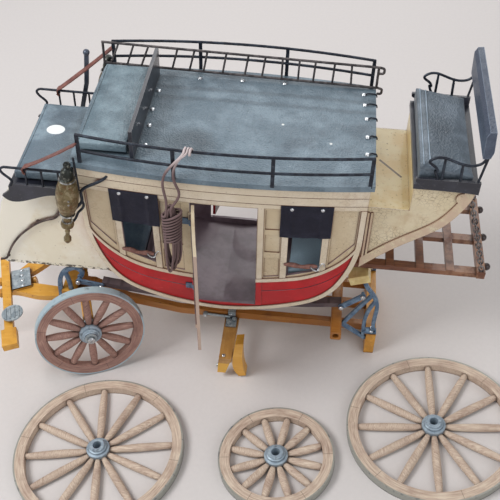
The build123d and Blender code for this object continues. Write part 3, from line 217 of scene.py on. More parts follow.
    def inward(self, centre):
        """Share 1 on faces that look towards a centre, such as the inside of a hollow body."""
        away = self.add("VectorMath", {0: self.where, 1: centre}, operation="SUBTRACT").outputs[0]
        facing = self.add("TexCoord", {}).outputs["Normal"]
        return self.calc("LESS_THAN", self.meet(away, facing), 0.0)

    def on(self, *names):
        """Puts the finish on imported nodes."""
        for name in names:
            slots = parts[name].data.materials
            slots.clear()
            slots.append(self.material)


floor_finish = Finish("pale_floor", (214, 209, 207), 0.9)
floor_finish.paint(floor_finish.noise(0.004), (206, 201, 199))
floor_mesh.materials.append(floor_finish.material)

# The coach's own frame, in which its pieces are drawn: X to the rear, Y to the right side and Z up,
# with the king bolt's top at a known point of it. The stored coach is pitched down at its rear.
king_bolt = Vector((-0.114, 0.0, 0.0673))
joints = {joint["name"]: joint for joint in frame["joints"]}
coach_up = Vector(joints["steering"]["axis"])
coach_right = Vector((0, 1, 0))
coach_rear = coach_right.cross(coach_up)
turned = Matrix((coach_rear, coach_right, coach_up)).transposed().to_4x4()
coach = Matrix.Translation(Vector(joints["steering"]["pos_m"])) @ turned @ Matrix.Translation(-king_bolt)
gear_turn = math.radians(19)
gear = coach @ Matrix.Translation((king_bolt.x, 0, 0)) @ Matrix.Rotation(gear_turn, 4, "Z")


def spot(x, y, z, own=coach):
    """A point of the coach's frame, or of another piece's, given in millimetres, in the stored frame."""
    return own @ (Vector((x, y, z)) / 1000)


# Rope on the left roof rail: one grey-mauve cord of 2.2 mm, hitched to the top rail, brought down,
# laid up in long loops, bound round their upper half and brought back up to its hitch.
rope_radius = 0.0011
rail_y = -76.5
strand_y = -79.6
hitch_points = [(12.5, rail_y + 2.9, 276.2), (12.2, rail_y + 1.6, 280.4), (11.4, rail_y - 1.8, 280.4),
                (11.0, rail_y - 2.9, 276.6), (10.6, rail_y + 0.6, 274.6), (10.2, rail_y + 3.0, 277.6),
                (9.8, rail_y + 0.8, 281.0)]
down_points = [(9, strand_y, 278), (3, strand_y, 273), (-2, strand_y, 262), (-2, strand_y, 250),
               (3, strand_y, 239), (0, -79.4, 230)]
up_points = [(-8, -79.6, 228), (-10, strand_y, 238), (-11, strand_y, 248), (-8, strand_y, 259),
             (0, strand_y, 269), (6.4, strand_y, 277), (7.2, rail_y - 1.4, 280.8), (7.4, rail_y + 2.2, 279.6)]
rope_points = hitch_points + down_points
loop_count = 6
loop_points = 14
loop_low, loop_high = 151.0, 224.0
layer_pitch = 1.2
hank_x, hank_y = -6.0, -78.4
for turn in range(loop_count):
    half = 2.4 + 0.7 * (turn % 3) + 0.2 * turn
    low = loop_low + 4.0 * ((turn * 2) % 3)
    high = loop_high - 2.0 * (turn % 2)
    layer = hank_y - 3.0 + layer_pitch * turn
    lean = -2.0 + 0.8 * turn
    for index in range(loop_points):
        angle = 2 * math.pi * (index + 0.5) / loop_points
        spread = 1.25 - 0.25 * math.cos(angle)
        x = hank_x + half * math.sin(angle) * spread + lean * (0.5 - 0.5 * math.cos(angle))
        rope_points.append((x, layer, (high + low) / 2 + (high - low) / 2 * math.cos(angle)))
wrap_count = 10
wrap_points = 12
wrap_x, wrap_low, wrap_rise = -4.8, 186.0, 31.0
wrap_slope = 0.45
for turn in range(wrap_count):
    for index in range(wrap_points):
        angle = 2 * math.pi * index / wrap_points
        rise = (turn + index / wrap_points) / wrap_count
        x = wrap_x + (6.8 + 1.3 * rise) * math.sin(angle)
        z = wrap_low + wrap_rise * rise + wrap_slope * (x - wrap_x)
        rope_points.append((x, hank_y - 5.0 * math.cos(angle), z))
rope_points += up_points


def smooth_line(name, points, own=coach, steps=4):
    """A NURBS curve through the run of its control points, which are millimetres in a piece's frame."""
    line = bpy.data.curves.new(name, "CURVE")
    line.dimensions = "3D"
    spline = line.splines.new("NURBS")
    spline.points.add(len(points) - 1)
    for point, place in zip(spline.points, points):
        point.co = (*spot(*place, own), 1)
    spline.order_u = 3
    spline.use_endpoint_u = True
    spline.resolution_u = steps
    return line


rope_line = smooth_line("rope", rope_points)
rope = bpy.data.objects.new("rope", rope_line)
bpy.context.scene.collection.objects.link(rope)
bare_rope = bpy.data.meshes.new_from_object(rope)
for edge in bare_rope.edges:
    start, end = [bare_rope.vertices[number].co for number in edge.vertices]
bpy.data.meshes.remove(bare_rope)
rope_line.bevel_depth = rope_radius
rope_line.bevel_resolution = 2
rope_finish = Finish("rope_fibre", (146, 124, 122), 0.95)
rope_height = rope_finish.axes(coach)[2]
rope_finish.paint(rope_finish.noise(0.006), (112, 90, 90))
rope_finish.paint(rope_finish.noise(0.0007), (92, 72, 74))
# Painted highlight: the cord is painted paler above 255 mm, on its upper strand near the hitch.
rope_finish.paint(rope_finish.ramp(rope_height, 0.255, 0.279), (206, 192, 192))
# Painted shade: darker brown-grey where the cord is closed in, between its turns.
rope_finish.paint(rope_finish.crevices(0.003), (62, 46, 48))
rope_finish.bumps(0.0005, 0.0004)
rope_line.materials.append(rope_finish.material)
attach(rope, "coach")
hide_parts("rope_hank", "rope_strands")


# Wheels: twelve turned ash spokes, six sawn felloes and a pale steel tyre on a stepped hub. The loose
# wheels are bleached, and the mounted one keeps its brown-mauve stain; grain runs along each piece.
felloe_inner = {"rear": 0.0662, "front": 0.0408}
fibres, fibre_stretch = 900, 14
turned_rings = 5200.0
wheel_turns = {"loose_front": math.radians(20), "rear_left": math.radians(8), "rear_right": math.radians(2)}
loose_front = Vector((0.15225, -0.1087, 0))
rear_left = Vector((-0.00635, -0.1093, 0))
rear_right = Vector((0.28805, -0.0708, 0))
spin = joints["front_wheel_spin"]
spin_out = Vector(spin["axis"])
wheel_along = Vector(coach.to_3x3() @ Vector((math.cos(gear_turn), math.sin(gear_turn), 0)))
wheel_up = spin_out.cross(wheel_along)
mounted = Matrix((wheel_along, wheel_up, spin_out)).transposed().to_4x4()
mounted.translation = Vector(spin["pos_m"])


def about_hub(finish, first, second=None):
    """X, Y, depth and radius about one hub or the nearer of two, and the share of the second one."""
    x, y, depth = finish.axes(first)
    side = None
    if second is not None:
        shift = second.to_translation() - first.to_translation()
        side = finish.calc("GREATER_THAN", x, shift.x / 2)
        x = finish.calc("SUBTRACT", x, finish.calc("MULTIPLY", side, shift.x))
        y = finish.calc("SUBTRACT", y, finish.calc("MULTIPLY", side, shift.y))
    square = finish.calc("ADD", finish.calc("MULTIPLY", x, x), finish.calc("MULTIPLY", y, y))
    return x, y, depth, finish.calc("SQRT", square), side


def wheel_wood(name, colours, rim, first, second=None, turns=(0.0, 0.0)):
    """Wheel wood in a ground, a pale and a dark colour, whose grain follows the spokes and the rim."""
    ground, pale, dark = colours
    wood = Finish(name, ground, 0.68)
    x, y, depth, radius, side = about_hub(wood, first, second)
    turn = turns[0]
    if side is not None:
        turn = wood.calc("MULTIPLY_ADD", side, turns[1] - turns[0], turns[0])
    angle = wood.calc("ARCTAN2", y, x)
    around = wood.calc("MULTIPLY", angle, radius)
    on_rim = wood.ramp(radius, rim - 0.0004, rim + 0.0004)

    def grain(across, along):
        fibre_lines = wood.add("CombineXYZ", {0: wood.calc("MULTIPLY", across, fibres),
                                              1: wood.calc("MULTIPLY", along, fibres / fibre_stretch),
                                              2: wood.calc("MULTIPLY", depth, fibres)})
        return wood.noise(1.0, detail=5.0, along=fibre_lines.outputs[0])

    rim_grain = grain(radius, wood.calc("MULTIPLY", angle, rim))
    blend = wood.add("Mix", {0: on_rim, 2: grain(around, radius), 3: rim_grain})
    streaks = blend.outputs[0]
    wood.paint(wood.ramp(streaks, 0.42, 0.7), pale)
    wood.paint(wood.ramp(streaks, 0.3, 0.44, flip=True), dark, 0.8)
    wood.mottle(0.02, 0.45, 0.7, dark, 0.45)
    off = wood.calc("SUBTRACT", angle, turn)
    joint = wood.calc("PINGPONG", wood.calc("ADD", off, math.pi / 12 + 2 * math.pi), math.pi / 6)
    saw_line = wood.ramp(wood.calc("MULTIPLY", joint, radius), 0.00018, 0.00042, flip=True)
    joint_and_shade_dark = (58, 42, 38)
    wood.paint(wood.calc("MULTIPLY", saw_line, on_rim), joint_and_shade_dark, 0.45)
    # Painted shade: the same dark colour is laid where the wood is closed in, at the hub and the spokes'
    # ends.
    wood.paint(wood.crevices(0.003), joint_and_shade_dark, 0.75)
    wood.relief(streaks, 0.00025, 0.7)
    return wood


loose_colours = ((190, 168, 150), (218, 202, 182), (148, 120, 106))
stained_colours = ((150, 114, 104), (182, 146, 132), (104, 72, 64))
loose_front_place = Matrix.Translation(loose_front)
loose_rear_places = (Matrix.Translation(rear_left), Matrix.Translation(rear_right))
front_wood = wheel_wood("bleached_front_wheel", loose_colours, felloe_inner["front"], loose_front_place,
                        turns=(wheel_turns["loose_front"], 0.0))
front_wood.on("loose_front_wheel_wood")
rear_wood = wheel_wood("bleached_rear_wheels", loose_colours, felloe_inner["rear"], *loose_rear_places,
                       turns=(wheel_turns["rear_left"], wheel_turns["rear_right"]))
rear_wood.on("loose_rear_wheels_wood")
mounted_wood = wheel_wood("stained_wheel", stained_colours, felloe_inner["front"], mounted)
mounted_wood.on("front_wheel_left_wood")


def wheel_iron(name, tyre_colour, rim, first, second=None):
    """Pale steel tyre with dark scuffs, and a blue-grey painted hub with turned rings."""
    iron = Finish(name, (146, 162, 176), 0.4, metallic=0.25)
    iron.mottle(0.004, 0.4, 0.75, (172, 188, 198))
    _, _, _, radius, _ = about_hub(iron, first, second)
    tyre = iron.calc("GREATER_THAN", radius, rim)
    iron.paint(tyre, tyre_colour)
    rings = iron.calc("SINE", iron.calc("MULTIPLY", radius, turned_rings))
    iron.relief(iron.calc("MULTIPLY", rings, iron.calc("SUBTRACT", 1.0, tyre)), 0.00006, 0.5)
    scuffs = iron.ramp(iron.noise(0.007, detail=8.0), 0.56, 0.66)
    iron.paint(scuffs, (84, 88, 96), 0.6)
    # Painted shade where the iron is closed in.
    iron.paint(iron.crevices(0.003), (44, 44, 54), 0.8)
    # Near-black painted shade in the axle hole, within 3.6 mm of the hub's axis.
    iron.paint(iron.ramp(radius, 0.0030, 0.0036, flip=True), (26, 26, 32))
    iron.gloss(0.003, 0.3, 0.55)
    return iron


mounted_tyre, loose_tyre = (172, 192, 202), (158, 158, 150)
mounted_steel = wheel_iron("mounted_wheel_steel", mounted_tyre, felloe_inner["front"], mounted)
mounted_steel.on("front_wheel_left_iron")
front_steel = wheel_iron("loose_front_wheel_steel", loose_tyre, felloe_inner["front"], loose_front_place)
front_steel.on("loose_front_wheel_iron")
rear_steel = wheel_iron("loose_rear_wheel_steel", loose_tyre, felloe_inner["rear"], *loose_rear_places)
rear_steel.on("loose_rear_wheels_iron")


def piece(name, mesh, body, finish, stands_for=()):
    """Puts a mesh or curve of the scene on the body that carries it, with its finish."""
    made = bpy.data.objects.new(name, mesh)
    bpy.context.scene.collection.objects.link(made)
    mesh.materials.clear()
    mesh.materials.append(finish.material)
    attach(made, body)
    if stands_for:
        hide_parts(*stands_for)
    return made


def mesh_of(name, shape):
    """A mesh of what a bmesh holds, which is then given up."""
    mesh = bpy.data.meshes.new(name)
    shape.to_mesh(mesh)
    shape.free()
    return mesh


def turn_up(shape, outline, place, along, sides):
    """Adds a turned form to a bmesh: its outline is radius and height pairs in millimetres."""
    across = along.orthogonal().normalized()
    other = along.cross(across)
    rings = []
    for radius, height in outline:
        middle = place + along * height / 1000
        if radius == 0:
            rings.append([shape.verts.new(middle)])
            continue
        ring = []
        for step in range(sides):
            angle = 2 * math.pi * step / sides
            out = across * math.cos(angle) + other * math.sin(angle)
            ring.append(shape.verts.new(middle + out * radius / 1000))
        rings.append(ring)
    for low, high in zip(rings, rings[1:]):
        for step in range(sides):
            after = (step + 1) % sides
            if len(low) == 1:
                shape.faces.new((low[0], high[after], high[step]))
            elif len(high) == 1:
                shape.faces.new((low[step], low[after], high[0]))
            else:
                shape.faces.new((low[step], low[after], high[after], high[step]))


def turned_mesh(name, forms, sides=14):
    """One mesh of several turned forms, each given as an outline, a place and an axis."""
    shape = bmesh.new()
    for outline, place, along in forms:
        turn_up(shape, outline, Vector(place), Vector(along).normalized(), sides)
    for face in shape.faces:
        face.smooth = True
    bmesh.ops.recalc_face_normals(shape, faces=shape.faces[:])
    for edge in shape.edges:
        edge.smooth = len(edge.link_faces) == 2 and edge.calc_face_angle() < 0.6
    return mesh_of(name, shape)


bright_steel = Finish("bright_steel", (206, 210, 214), 0.22, metallic=0.9)
bright_steel.mottle(0.0015, 0.5, 0.75, (150, 152, 158))
bright_steel.gloss(0.001, 0.16, 0.38)
screw_outline = [(0, 0), (3.4, 0), (3.4, 0.5), (2.7, 1.0), (1.0, 1.2), (0.8, 0.5), (0, 0.5)]
hub_place = mounted.translation
pin_reach = max((vertex.co - hub_place).dot(spin_out) for vertex in parts["wheel_pin"].data.vertices)
wheel_screw = turned_mesh("wheel_screw", [(screw_outline, hub_place + spin_out * pin_reach, spin_out)], 20)
piece("wheel_screw", wheel_screw, "front_gear", bright_steel)


# Running gear: perches, axles and bars of golden-yellow painted wood, with brown painted shade in
# their corners; blue-grey iron stands and shackles, and leather braces that carry the body.
def painted_wood(name, colour, worn, shade, along=(30, 400, 400)):
    """Oil paint on sawn wood: brushed streaks along it, worn patches and brown painted shade in its corners.
    """
    paint = Finish(name, colour, 0.42, coat=0.2)
    brushed = paint.noise(1.0, detail=4.0, along=paint.mapped(coach, along))
    paint.paint(paint.ramp(brushed, 0.45, 0.75), worn, 0.6)
    paint.mottle(0.02, 0.48, 0.72, shade, 0.55)
    chips = paint.ramp(paint.noise(0.0035, detail=6.0), 0.66, 0.69)
    paint.paint(chips, shade)
    # Brown painted shade where the paint is closed in.
    paint.paint(paint.crevices(0.005), (84, 48, 20), 0.85)
    paint.relief(brushed, 0.0001, 0.5)
    paint.relief(chips, 0.0001, 0.5)
    return paint


along_beam = (400, 30, 400)
golden = painted_wood("golden_paint", (214, 156, 56), (232, 184, 96), (160, 100, 34))
golden.on("front_bolster", "front_axle", "hounds", "axle_bed", "splinter_bar", "brake_shoes", "pole")
# Painted shade: the perches and the rear axle carry a darker, browner copy of the golden paint, standing for
# the shade under the body.
shaded_perch_paint = painted_wood("shaded_perch_paint", (160, 100, 36), (190, 134, 60), (100, 60, 28))
shaded_perch_paint.on("perches", "rear_axle")
bar_paint = painted_wood("rear_bar_paint", (206, 142, 42), (228, 178, 88), (140, 92, 44), along_beam)
bar_paint.on("rear_bar")
brake_paint = painted_wood("brake_paint", (172, 126, 66), (190, 150, 92), (122, 84, 44), along_beam)
brake_low = brake_paint.ramp(brake_paint.axes(coach)[2], 0.0330, 0.0345, flip=True)
brake_paint.paint(brake_low, (216, 164, 62))
brake_paint.on("brake_beam")
spring_paint = painted_wood("spring_bar_paint", (222, 202, 140), (236, 222, 172), (176, 146, 92), along_beam)
spring_paint.on("spring_bar")


def blue_iron(name, colour, light, dark):
    """Blue-grey painted iron with light rubbed spots and dark painted shade in its corners."""
    iron = Finish(name, colour, 0.42, metallic=0.45)
    iron.mottle(0.006, 0.42, 0.66, light, detail=6.0)
    iron.mottle(0.0025, 0.56, 0.66, dark, 0.7, detail=6.0)
    # Painted shade where the iron is closed in.
    iron.paint(iron.crevices(0.003), (34, 36, 44), 0.8)
    iron.bumps(0.0012, 0.00015, 0.6)
    iron.gloss(0.003, 0.32, 0.6)
    return iron


stand_iron = blue_iron("stand_iron", (96, 122, 150), (134, 158, 182), (54, 64, 82))
stand_iron.on("brace_stands", "shackles", "door_hinges")
gear_iron = blue_iron("gear_iron", (150, 162, 170), (186, 196, 200), (96, 100, 108))
gear_iron.on("step_plates", "wheel_pin", "king_bolt", "brake_irons")

brace_leather = Finish("brace_leather", (82, 70, 74), 0.62)
brace_leather.mottle(0.012, 0.45, 0.7, (104, 90, 92))
ply_rate = 3600.0
ply = brace_leather.calc("SINE", brace_leather.calc("MULTIPLY", brace_leather.axes(coach)[2], ply_rate))
brace_leather.paint(brace_leather.ramp(ply, 0.6, 1.0), (50, 40, 44), 0.6)
brace_leather.bumps(0.0008, 0.0002, 0.6)
brace_leather.on("braces")

pin_outline = [(0, 0), (2.3, 0), (2.3, 0.5), (1.9, 1.1), (0.9, 1.5), (0, 1.6)]
bolt_outline = [(0, -0.2), (1.7, -0.2), (1.7, 0.8), (1.2, 1.2), (0, 1.2)]
shackle_face = 50.0
hand = {-1: "left", 1: "right"}
outward = {side: coach.to_3x3() @ Vector((0, side, 0)) for side in hand}
side_pins = []
for side in hand:
    for x, z in ((-101.2, 93.0), (-80.0, 89.5), (159.0, 106.6), (141.0, 90.5)):
        side_pins.append((pin_outline, spot(x, side * (shackle_face - 0.1), z), outward[side]))
    for x, y, z in ((14.0, 33.3, 45.0), (38.5, 31.4, 47.0)):
        side_pins.append((bolt_outline, spot(x, side * y, z), outward[side]))
    for x, y, z in ((172.5, 39.5, 55.5), (172.5, 44.0, 55.5), (37.2, 77.5, 41.0)):
        side_pins.append((bolt_outline, spot(x, side * y, z), coach_up))
    side_pins.append((pin_outline, spot(31.9, side * 77.5, 26.5), -coach_rear))
piece("gear_pins", turned_mesh("gear_pins", side_pins), "coach", bright_steel)


def board_between(shape, outline, low_y, high_y, own=coach):
    """Adds a flat board, cut to an outline of X and Z, between two values of Y, all in millimetres."""
    near = [shape.verts.new(spot(x, low_y, z, own)) for x, z in outline]
    far = [shape.verts.new(spot(x, high_y, z, own)) for x, z in outline]
    shape.faces.new(near)
    shape.faces.new(far[::-1])
    for number in range(len(outline)):
        after = (number + 1) % len(outline)
        shape.faces.new((near[number], far[number], far[after], near[after]))


def board_mesh(name, shape):
    """A mesh of the boards in a bmesh, with their corners left sharp."""
    bmesh.ops.recalc_face_normals(shape, faces=shape.faces[:])
    return mesh_of(name, shape)


plate_front, plate_rear, plate_half = -67.5, -49.3, 12.2
plate_under, plate_over = 1.65, 2.0
hound_x, hound_z, hound_slope = -8.0, 63.3, 0.1389
plate_low, plate_high = [], []
for x in (plate_front, plate_rear):
    hound_top = hound_z + hound_slope * (x - hound_x)
    plate_low.append((x, hound_top + plate_under))
    plate_high.append((x, hound_top + plate_over))
plate_shape = bmesh.new()
board_between(plate_shape, plate_low + plate_high[::-1], -plate_half, plate_half, gear)
piece("hound_cover", board_mesh("hound_cover", plate_shape), "front_gear", gear_iron)


def wire(name, points, radius, own=coach, steps=4, sides=2, capped=False):
    """A round wire through its control points, with a radius in millimetres."""
    line = smooth_line(name, points, own, steps)
    line.bevel_depth = radius / 1000
    line.bevel_resolution = sides
    line.use_fill_caps = capped
    return line


ring_radius, ring_wire = 4.4, 0.75
ring_x, ring_y, ring_z = -69.7, 74.0, 49.6
for side in hand:
    ring_points = []
    for step in range(13):
        out = ring_radius * math.sin(step * math.pi / 6)
        up = ring_radius * math.cos(step * math.pi / 6)
        ring_points.append((ring_x + out * 0.55, side * ring_y + out * 0.83, ring_z + up))
    ring_line = wire("towing_ring", ring_points, ring_wire, gear, sides=3)
    piece(f"towing_ring_{hand[side]}", ring_line, "front_gear", stand_iron)
gear_up = gear.to_3x3() @ Vector((0, 0, 1))
gear_bolts = []
for side in hand:
    for y in (10.0, 3.5):
        gear_bolts.append((bolt_outline, spot(-57.0, side * y, 58.1, gear), gear_up))
piece("hound_bolts", turned_mesh("hound_bolts", gear_bolts, 6), "front_gear", bright_steel)


# Body: thin cream-enamelled walls with raised beads, aged to fine cracks, with the red-brown ground
# showing along every bead and step. Below the belt it is bright red. Inside, it is lined in mauve.
cabin_middle = spot(33, 0, 160)
ground_brown = (98, 54, 40)


def cream_enamel(name, colour, light, shade, crackle):
    """Aged cream enamel, with a share of crackle and brown along its steps."""
    cream = Finish(name, colour, 0.4, coat=0.25)
    cream.mottle(0.03, 0.4, 0.7, light)
    cream.mottle(0.012, 0.52, 0.72, shade, 0.5, detail=6.0)
    net = cream.ramp(cream.cells(0.0034), 0.0, 0.03 + 0.05 * crackle, flip=True)
    patch = cream.ramp(cream.noise(0.04), 0.5 - 0.25 * crackle, 0.66 - 0.25 * crackle)
    cracks = cream.calc("MULTIPLY", cream.calc("MULTIPLY", net, patch), crackle)
    cream.paint(cracks, (118, 90, 68))
    specks = cream.ramp(cream.cells(0.006, "F1"), 0.06, 0.1, flip=True)
    cream.paint(specks, (120, 92, 70), 0.5)
    cream.paint(cream.crevices(0.0026, 0.5, 0.96), ground_brown, 0.9)
    cream.relief(cracks, -0.0001, 0.6)
    cream.bumps(0.002, 0.00012, 0.5)
    cream.gloss(0.01, 0.3, 0.5)
    return cream


def lined(finish):
    """Turns the faces that look at the cabin's middle into mauve cloth lining."""
    inside = finish.inward(cabin_middle)
    mottle = finish.calc("MULTIPLY", inside, finish.ramp(finish.noise(0.03), 0.4, 0.65))
    finish.paint(inside, (158, 136, 144))
    finish.paint(mottle, (120, 98, 108))


wall_cream = cream_enamel("wall_cream", (206, 188, 156), (216, 202, 174), (186, 160, 126), 0.35)
lined(wall_cream)
wall_cream.on("side_panels", "end_panels", "body_floor")
bead_cream = cream_enamel("bead_cream", (216, 202, 178), (226, 214, 194), (196, 172, 144), 0.3)
bead_cream.paint(bead_cream.corners(0.0006), (124, 74, 58), 0.7)
bead_cream.on("mouldings")
# Painted light: the driver's boot is a paler, lit copy of the cream enamel.
lit_boot_cream = cream_enamel("lit_boot_cream", (232, 224, 202), (242, 238, 224), (216, 200, 168), 0.1)
boot_line = [(-146.0, 205.0), (-153.0, 194.0), (-159.5, 181.0), (-163.5, 166.0), (-167.0, 150.0),
             (-170.5, 135.0), (-173.0, 122.0), (-172.5, 113.0), (-166.0, 108.0), (-72.0, 108.0)]
boot_back = [(-72.0, 130.0), (-84.3, 186.0), (-84.3, 205.0)]
boot_half, boot_board = 45.0, 2.4
sides_shape = bmesh.new()
for low_y in (-boot_half, boot_half - boot_board):
    board_between(sides_shape, boot_line + boot_back, low_y, low_y + boot_board)
boot_x, _, boot_z = lit_boot_cream.axes(coach)
# Painted highlight: the boot side is painted paler ahead of a sloping line, standing for the lit front plane
# of a fold in the board.
highlight_fold_height, highlight_fold_slope = 0.182, 0.431
fold = lit_boot_cream.calc("MULTIPLY", lit_boot_cream.calc("SUBTRACT", highlight_fold_height, boot_z), highlight_fold_slope)
fold = lit_boot_cream.calc("ADD", boot_x, fold)
lit_boot_cream.paint(lit_boot_cream.ramp(fold, -0.1300, -0.1262, flip=True), (238, 233, 218))
grime = lit_boot_cream.calc("MULTIPLY", lit_boot_cream.within(boot_z, 0.107, 0.1105, 0.001),
                        lit_boot_cream.ramp(lit_boot_cream.noise(0.003, detail=6.0), 0.45, 0.55))
lit_boot_cream.paint(grime, (62, 50, 44), 0.9)
boot_sides = board_mesh("boot_side_boards", sides_shape)
piece("boot_side_boards", boot_sides, "coach", lit_boot_cream, ["boot_sides"])
toe_inside = []
for number, (x, z) in enumerate(boot_line):
    before = Vector(boot_line[max(0, number - 1)])
    after = Vector(boot_line[min(len(boot_line) - 1, number + 1)])
    along = (after - before).normalized()
    toe_inside.append((x - along.y * boot_board, z + along.x * boot_board))
floor_shape = bmesh.new()
for number in range(len(boot_line) - 1):
    length = [boot_line[number], boot_line[number + 1], toe_inside[number + 1], toe_inside[number]]
    board_between(floor_shape, length, -boot_half + boot_board, boot_half - boot_board)
bmesh.ops.remove_doubles(floor_shape, verts=floor_shape.verts[:], dist=0.00001)
toe_board = board_mesh("boot_toe_board", floor_shape)
piece("boot_toe_board", toe_board, "coach", lit_boot_cream, ["boot_floor"])

rear_cream = cream_enamel("rear_boot_cream", (214, 200, 168), (222, 210, 182), (192, 166, 128), 0.6)
across_boot = rear_cream.axes(coach)[1]
well_half = 0.0525
in_well = rear_cream.within(across_boot, -well_half, well_half, 0.0008)
rear_cream.paint(in_well, (224, 208, 162))
well_stain = rear_cream.calc("MULTIPLY", in_well, rear_cream.ramp(rear_cream.noise(0.02), 0.35, 0.65))
rear_cream.paint(well_stain, (212, 182, 120), 0.7)
well_dirt = rear_cream.ramp(rear_cream.noise(0.0025, detail=6.0), 0.62, 0.68)
rear_cream.paint(rear_cream.calc("MULTIPLY", in_well, well_dirt), (120, 96, 52), 0.7)
split_start, split_turn = Vector((0.1605, 0.0082, 0.218)), math.radians(-49.4)
split = coach @ Matrix.Translation(split_start) @ Matrix.Rotation(split_turn, 4, "Z")
split_x, split_y, split_z = rear_cream.axes(split)
split_line = rear_cream.calc("MULTIPLY", rear_cream.within(split_x, 0.0, 0.027, 0.001),
                             rear_cream.within(split_y, -0.0007, 0.0007, 0.0005))
split_line = rear_cream.calc("MULTIPLY", split_line, rear_cream.within(split_z, -0.001, 0.001, 0.0005))
rear_cream.paint(split_line, (84, 62, 32))
rim_start = 0.0546
on_rim = rear_cream.calc("GREATER_THAN", rear_cream.calc("ABSOLUTE", across_boot), rim_start)
rim_wear = rear_cream.calc("MULTIPLY", on_rim, rear_cream.ramp(rear_cream.noise(0.008), 0.3, 0.6))
rear_cream.paint(rim_wear, (202, 178, 154))
rear_cream.paint(rear_cream.corners(0.0008), (130, 80, 62), 0.75)
rear_cream.on("rear_boot")


red = Finish("red_enamel", (178, 12, 26), 0.34, coat=0.12)
red.mottle(0.02, 0.4, 0.7, (196, 22, 34))
red.mottle(0.006, 0.62, 0.7, (130, 8, 20), 0.5, detail=7.0)
scratches = red.noise(1.0, detail=3.0, along=red.mapped(coach, (60, 60, 1400)))
red.paint(red.ramp(scratches, 0.68, 0.72), (214, 96, 92), 0.6)
red.paint(red.crevices(0.0022, 0.4, 0.88), (86, 14, 18), 0.9)
red.gloss(0.008, 0.26, 0.42)
lined(red)
red.on("lower_panels")


# Doors: curved like the wall, cream over red with a belt between them, mauve inside. Each hangs on two
# iron hinges at its front edge and stands open.
door_belt_z = 0.1252
door_edge_x = 0.0618
for name, joint_name, turn in (("door_left", "left_door_swing", -80), ("door_right", "right_door_swing", 80)):
    hinge = joints[joint_name]
    pivot = Matrix.Translation(Vector(hinge["pos_m"]))
    swung = pivot @ Matrix.Rotation(math.radians(turn), 4, Vector(hinge["axis"])) @ pivot.inverted()
    leaf = cream_enamel(name + "_enamel", (200, 184, 156), (214, 200, 174), (178, 152, 122), 0.35)
    shut_x, _, shut_z = leaf.axes(swung @ coach)
    below = leaf.ramp(shut_z, door_belt_z - 0.0003, door_belt_z + 0.0001, flip=True)
    leaf.paint(below, (180, 14, 28))
    inside = leaf.inward(swung @ cabin_middle)
    leaf.paint(inside, (118, 98, 96))
    inside_wear = leaf.calc("MULTIPLY", inside, leaf.ramp(leaf.noise(0.012), 0.4, 0.65))
    leaf.paint(inside_wear, (88, 70, 70))
    leaf.paint(leaf.ramp(shut_x, door_edge_x, door_edge_x + 0.0004), (192, 168, 152))
    leaf.on(name)


# Cabin: two benches of mauve-painted board with blue-grey leather cushions and backs, stuffed and
# sewn over their edges.
cabin_board = Finish("cabin_board", (96, 78, 84), 0.7)
cabin_board.mottle(0.02, 0.4, 0.7, (124, 106, 112))
# Painted shade: dark over a reach of 10 mm where the boards are closed in, inside the cabin.
cabin_board.paint(cabin_board.crevices(0.01), (44, 34, 40))
cabin_board.bumps(0.001, 0.0001)
cabin_board.on("cabin_benches")


def blue_leather(name, colour, light, dark, grain=0.0011):
    """Worn blue-grey leather: pebbled grain, rubbed light on its crown and painted shade where it is closed
    in.
    """
    leather = Finish(name, colour, 0.46)
    leather.mottle(0.03, 0.4, 0.66, light, detail=5.0)
    leather.mottle(0.05, 0.5, 0.7, dark, 0.6)
    pebbles = leather.cells(grain, "SMOOTH_F1")
    leather.paint(leather.ramp(pebbles, 0.5, 0.8), dark, 0.35)
    dust = leather.ramp(leather.cells(0.009, "F1"), 0.03, 0.06, flip=True)
    leather.paint(dust, (196, 204, 208), 0.5)
    # Painted shade where the leather is closed in.
    leather.paint(leather.crevices(0.005, 0.3, 0.9), (34, 40, 48), 0.7)
    leather.relief(pebbles, 0.0006, 0.8)
    leather.bumps(0.0025, 0.0003, 0.4)
    leather.gloss(0.01, 0.32, 0.52)
    return leather


pad_scale = 10
shrink = 0.9
swell_limit = 1.5
pad_voxel = 0.016
pad_pressure = 4.0
swell_frames = 20


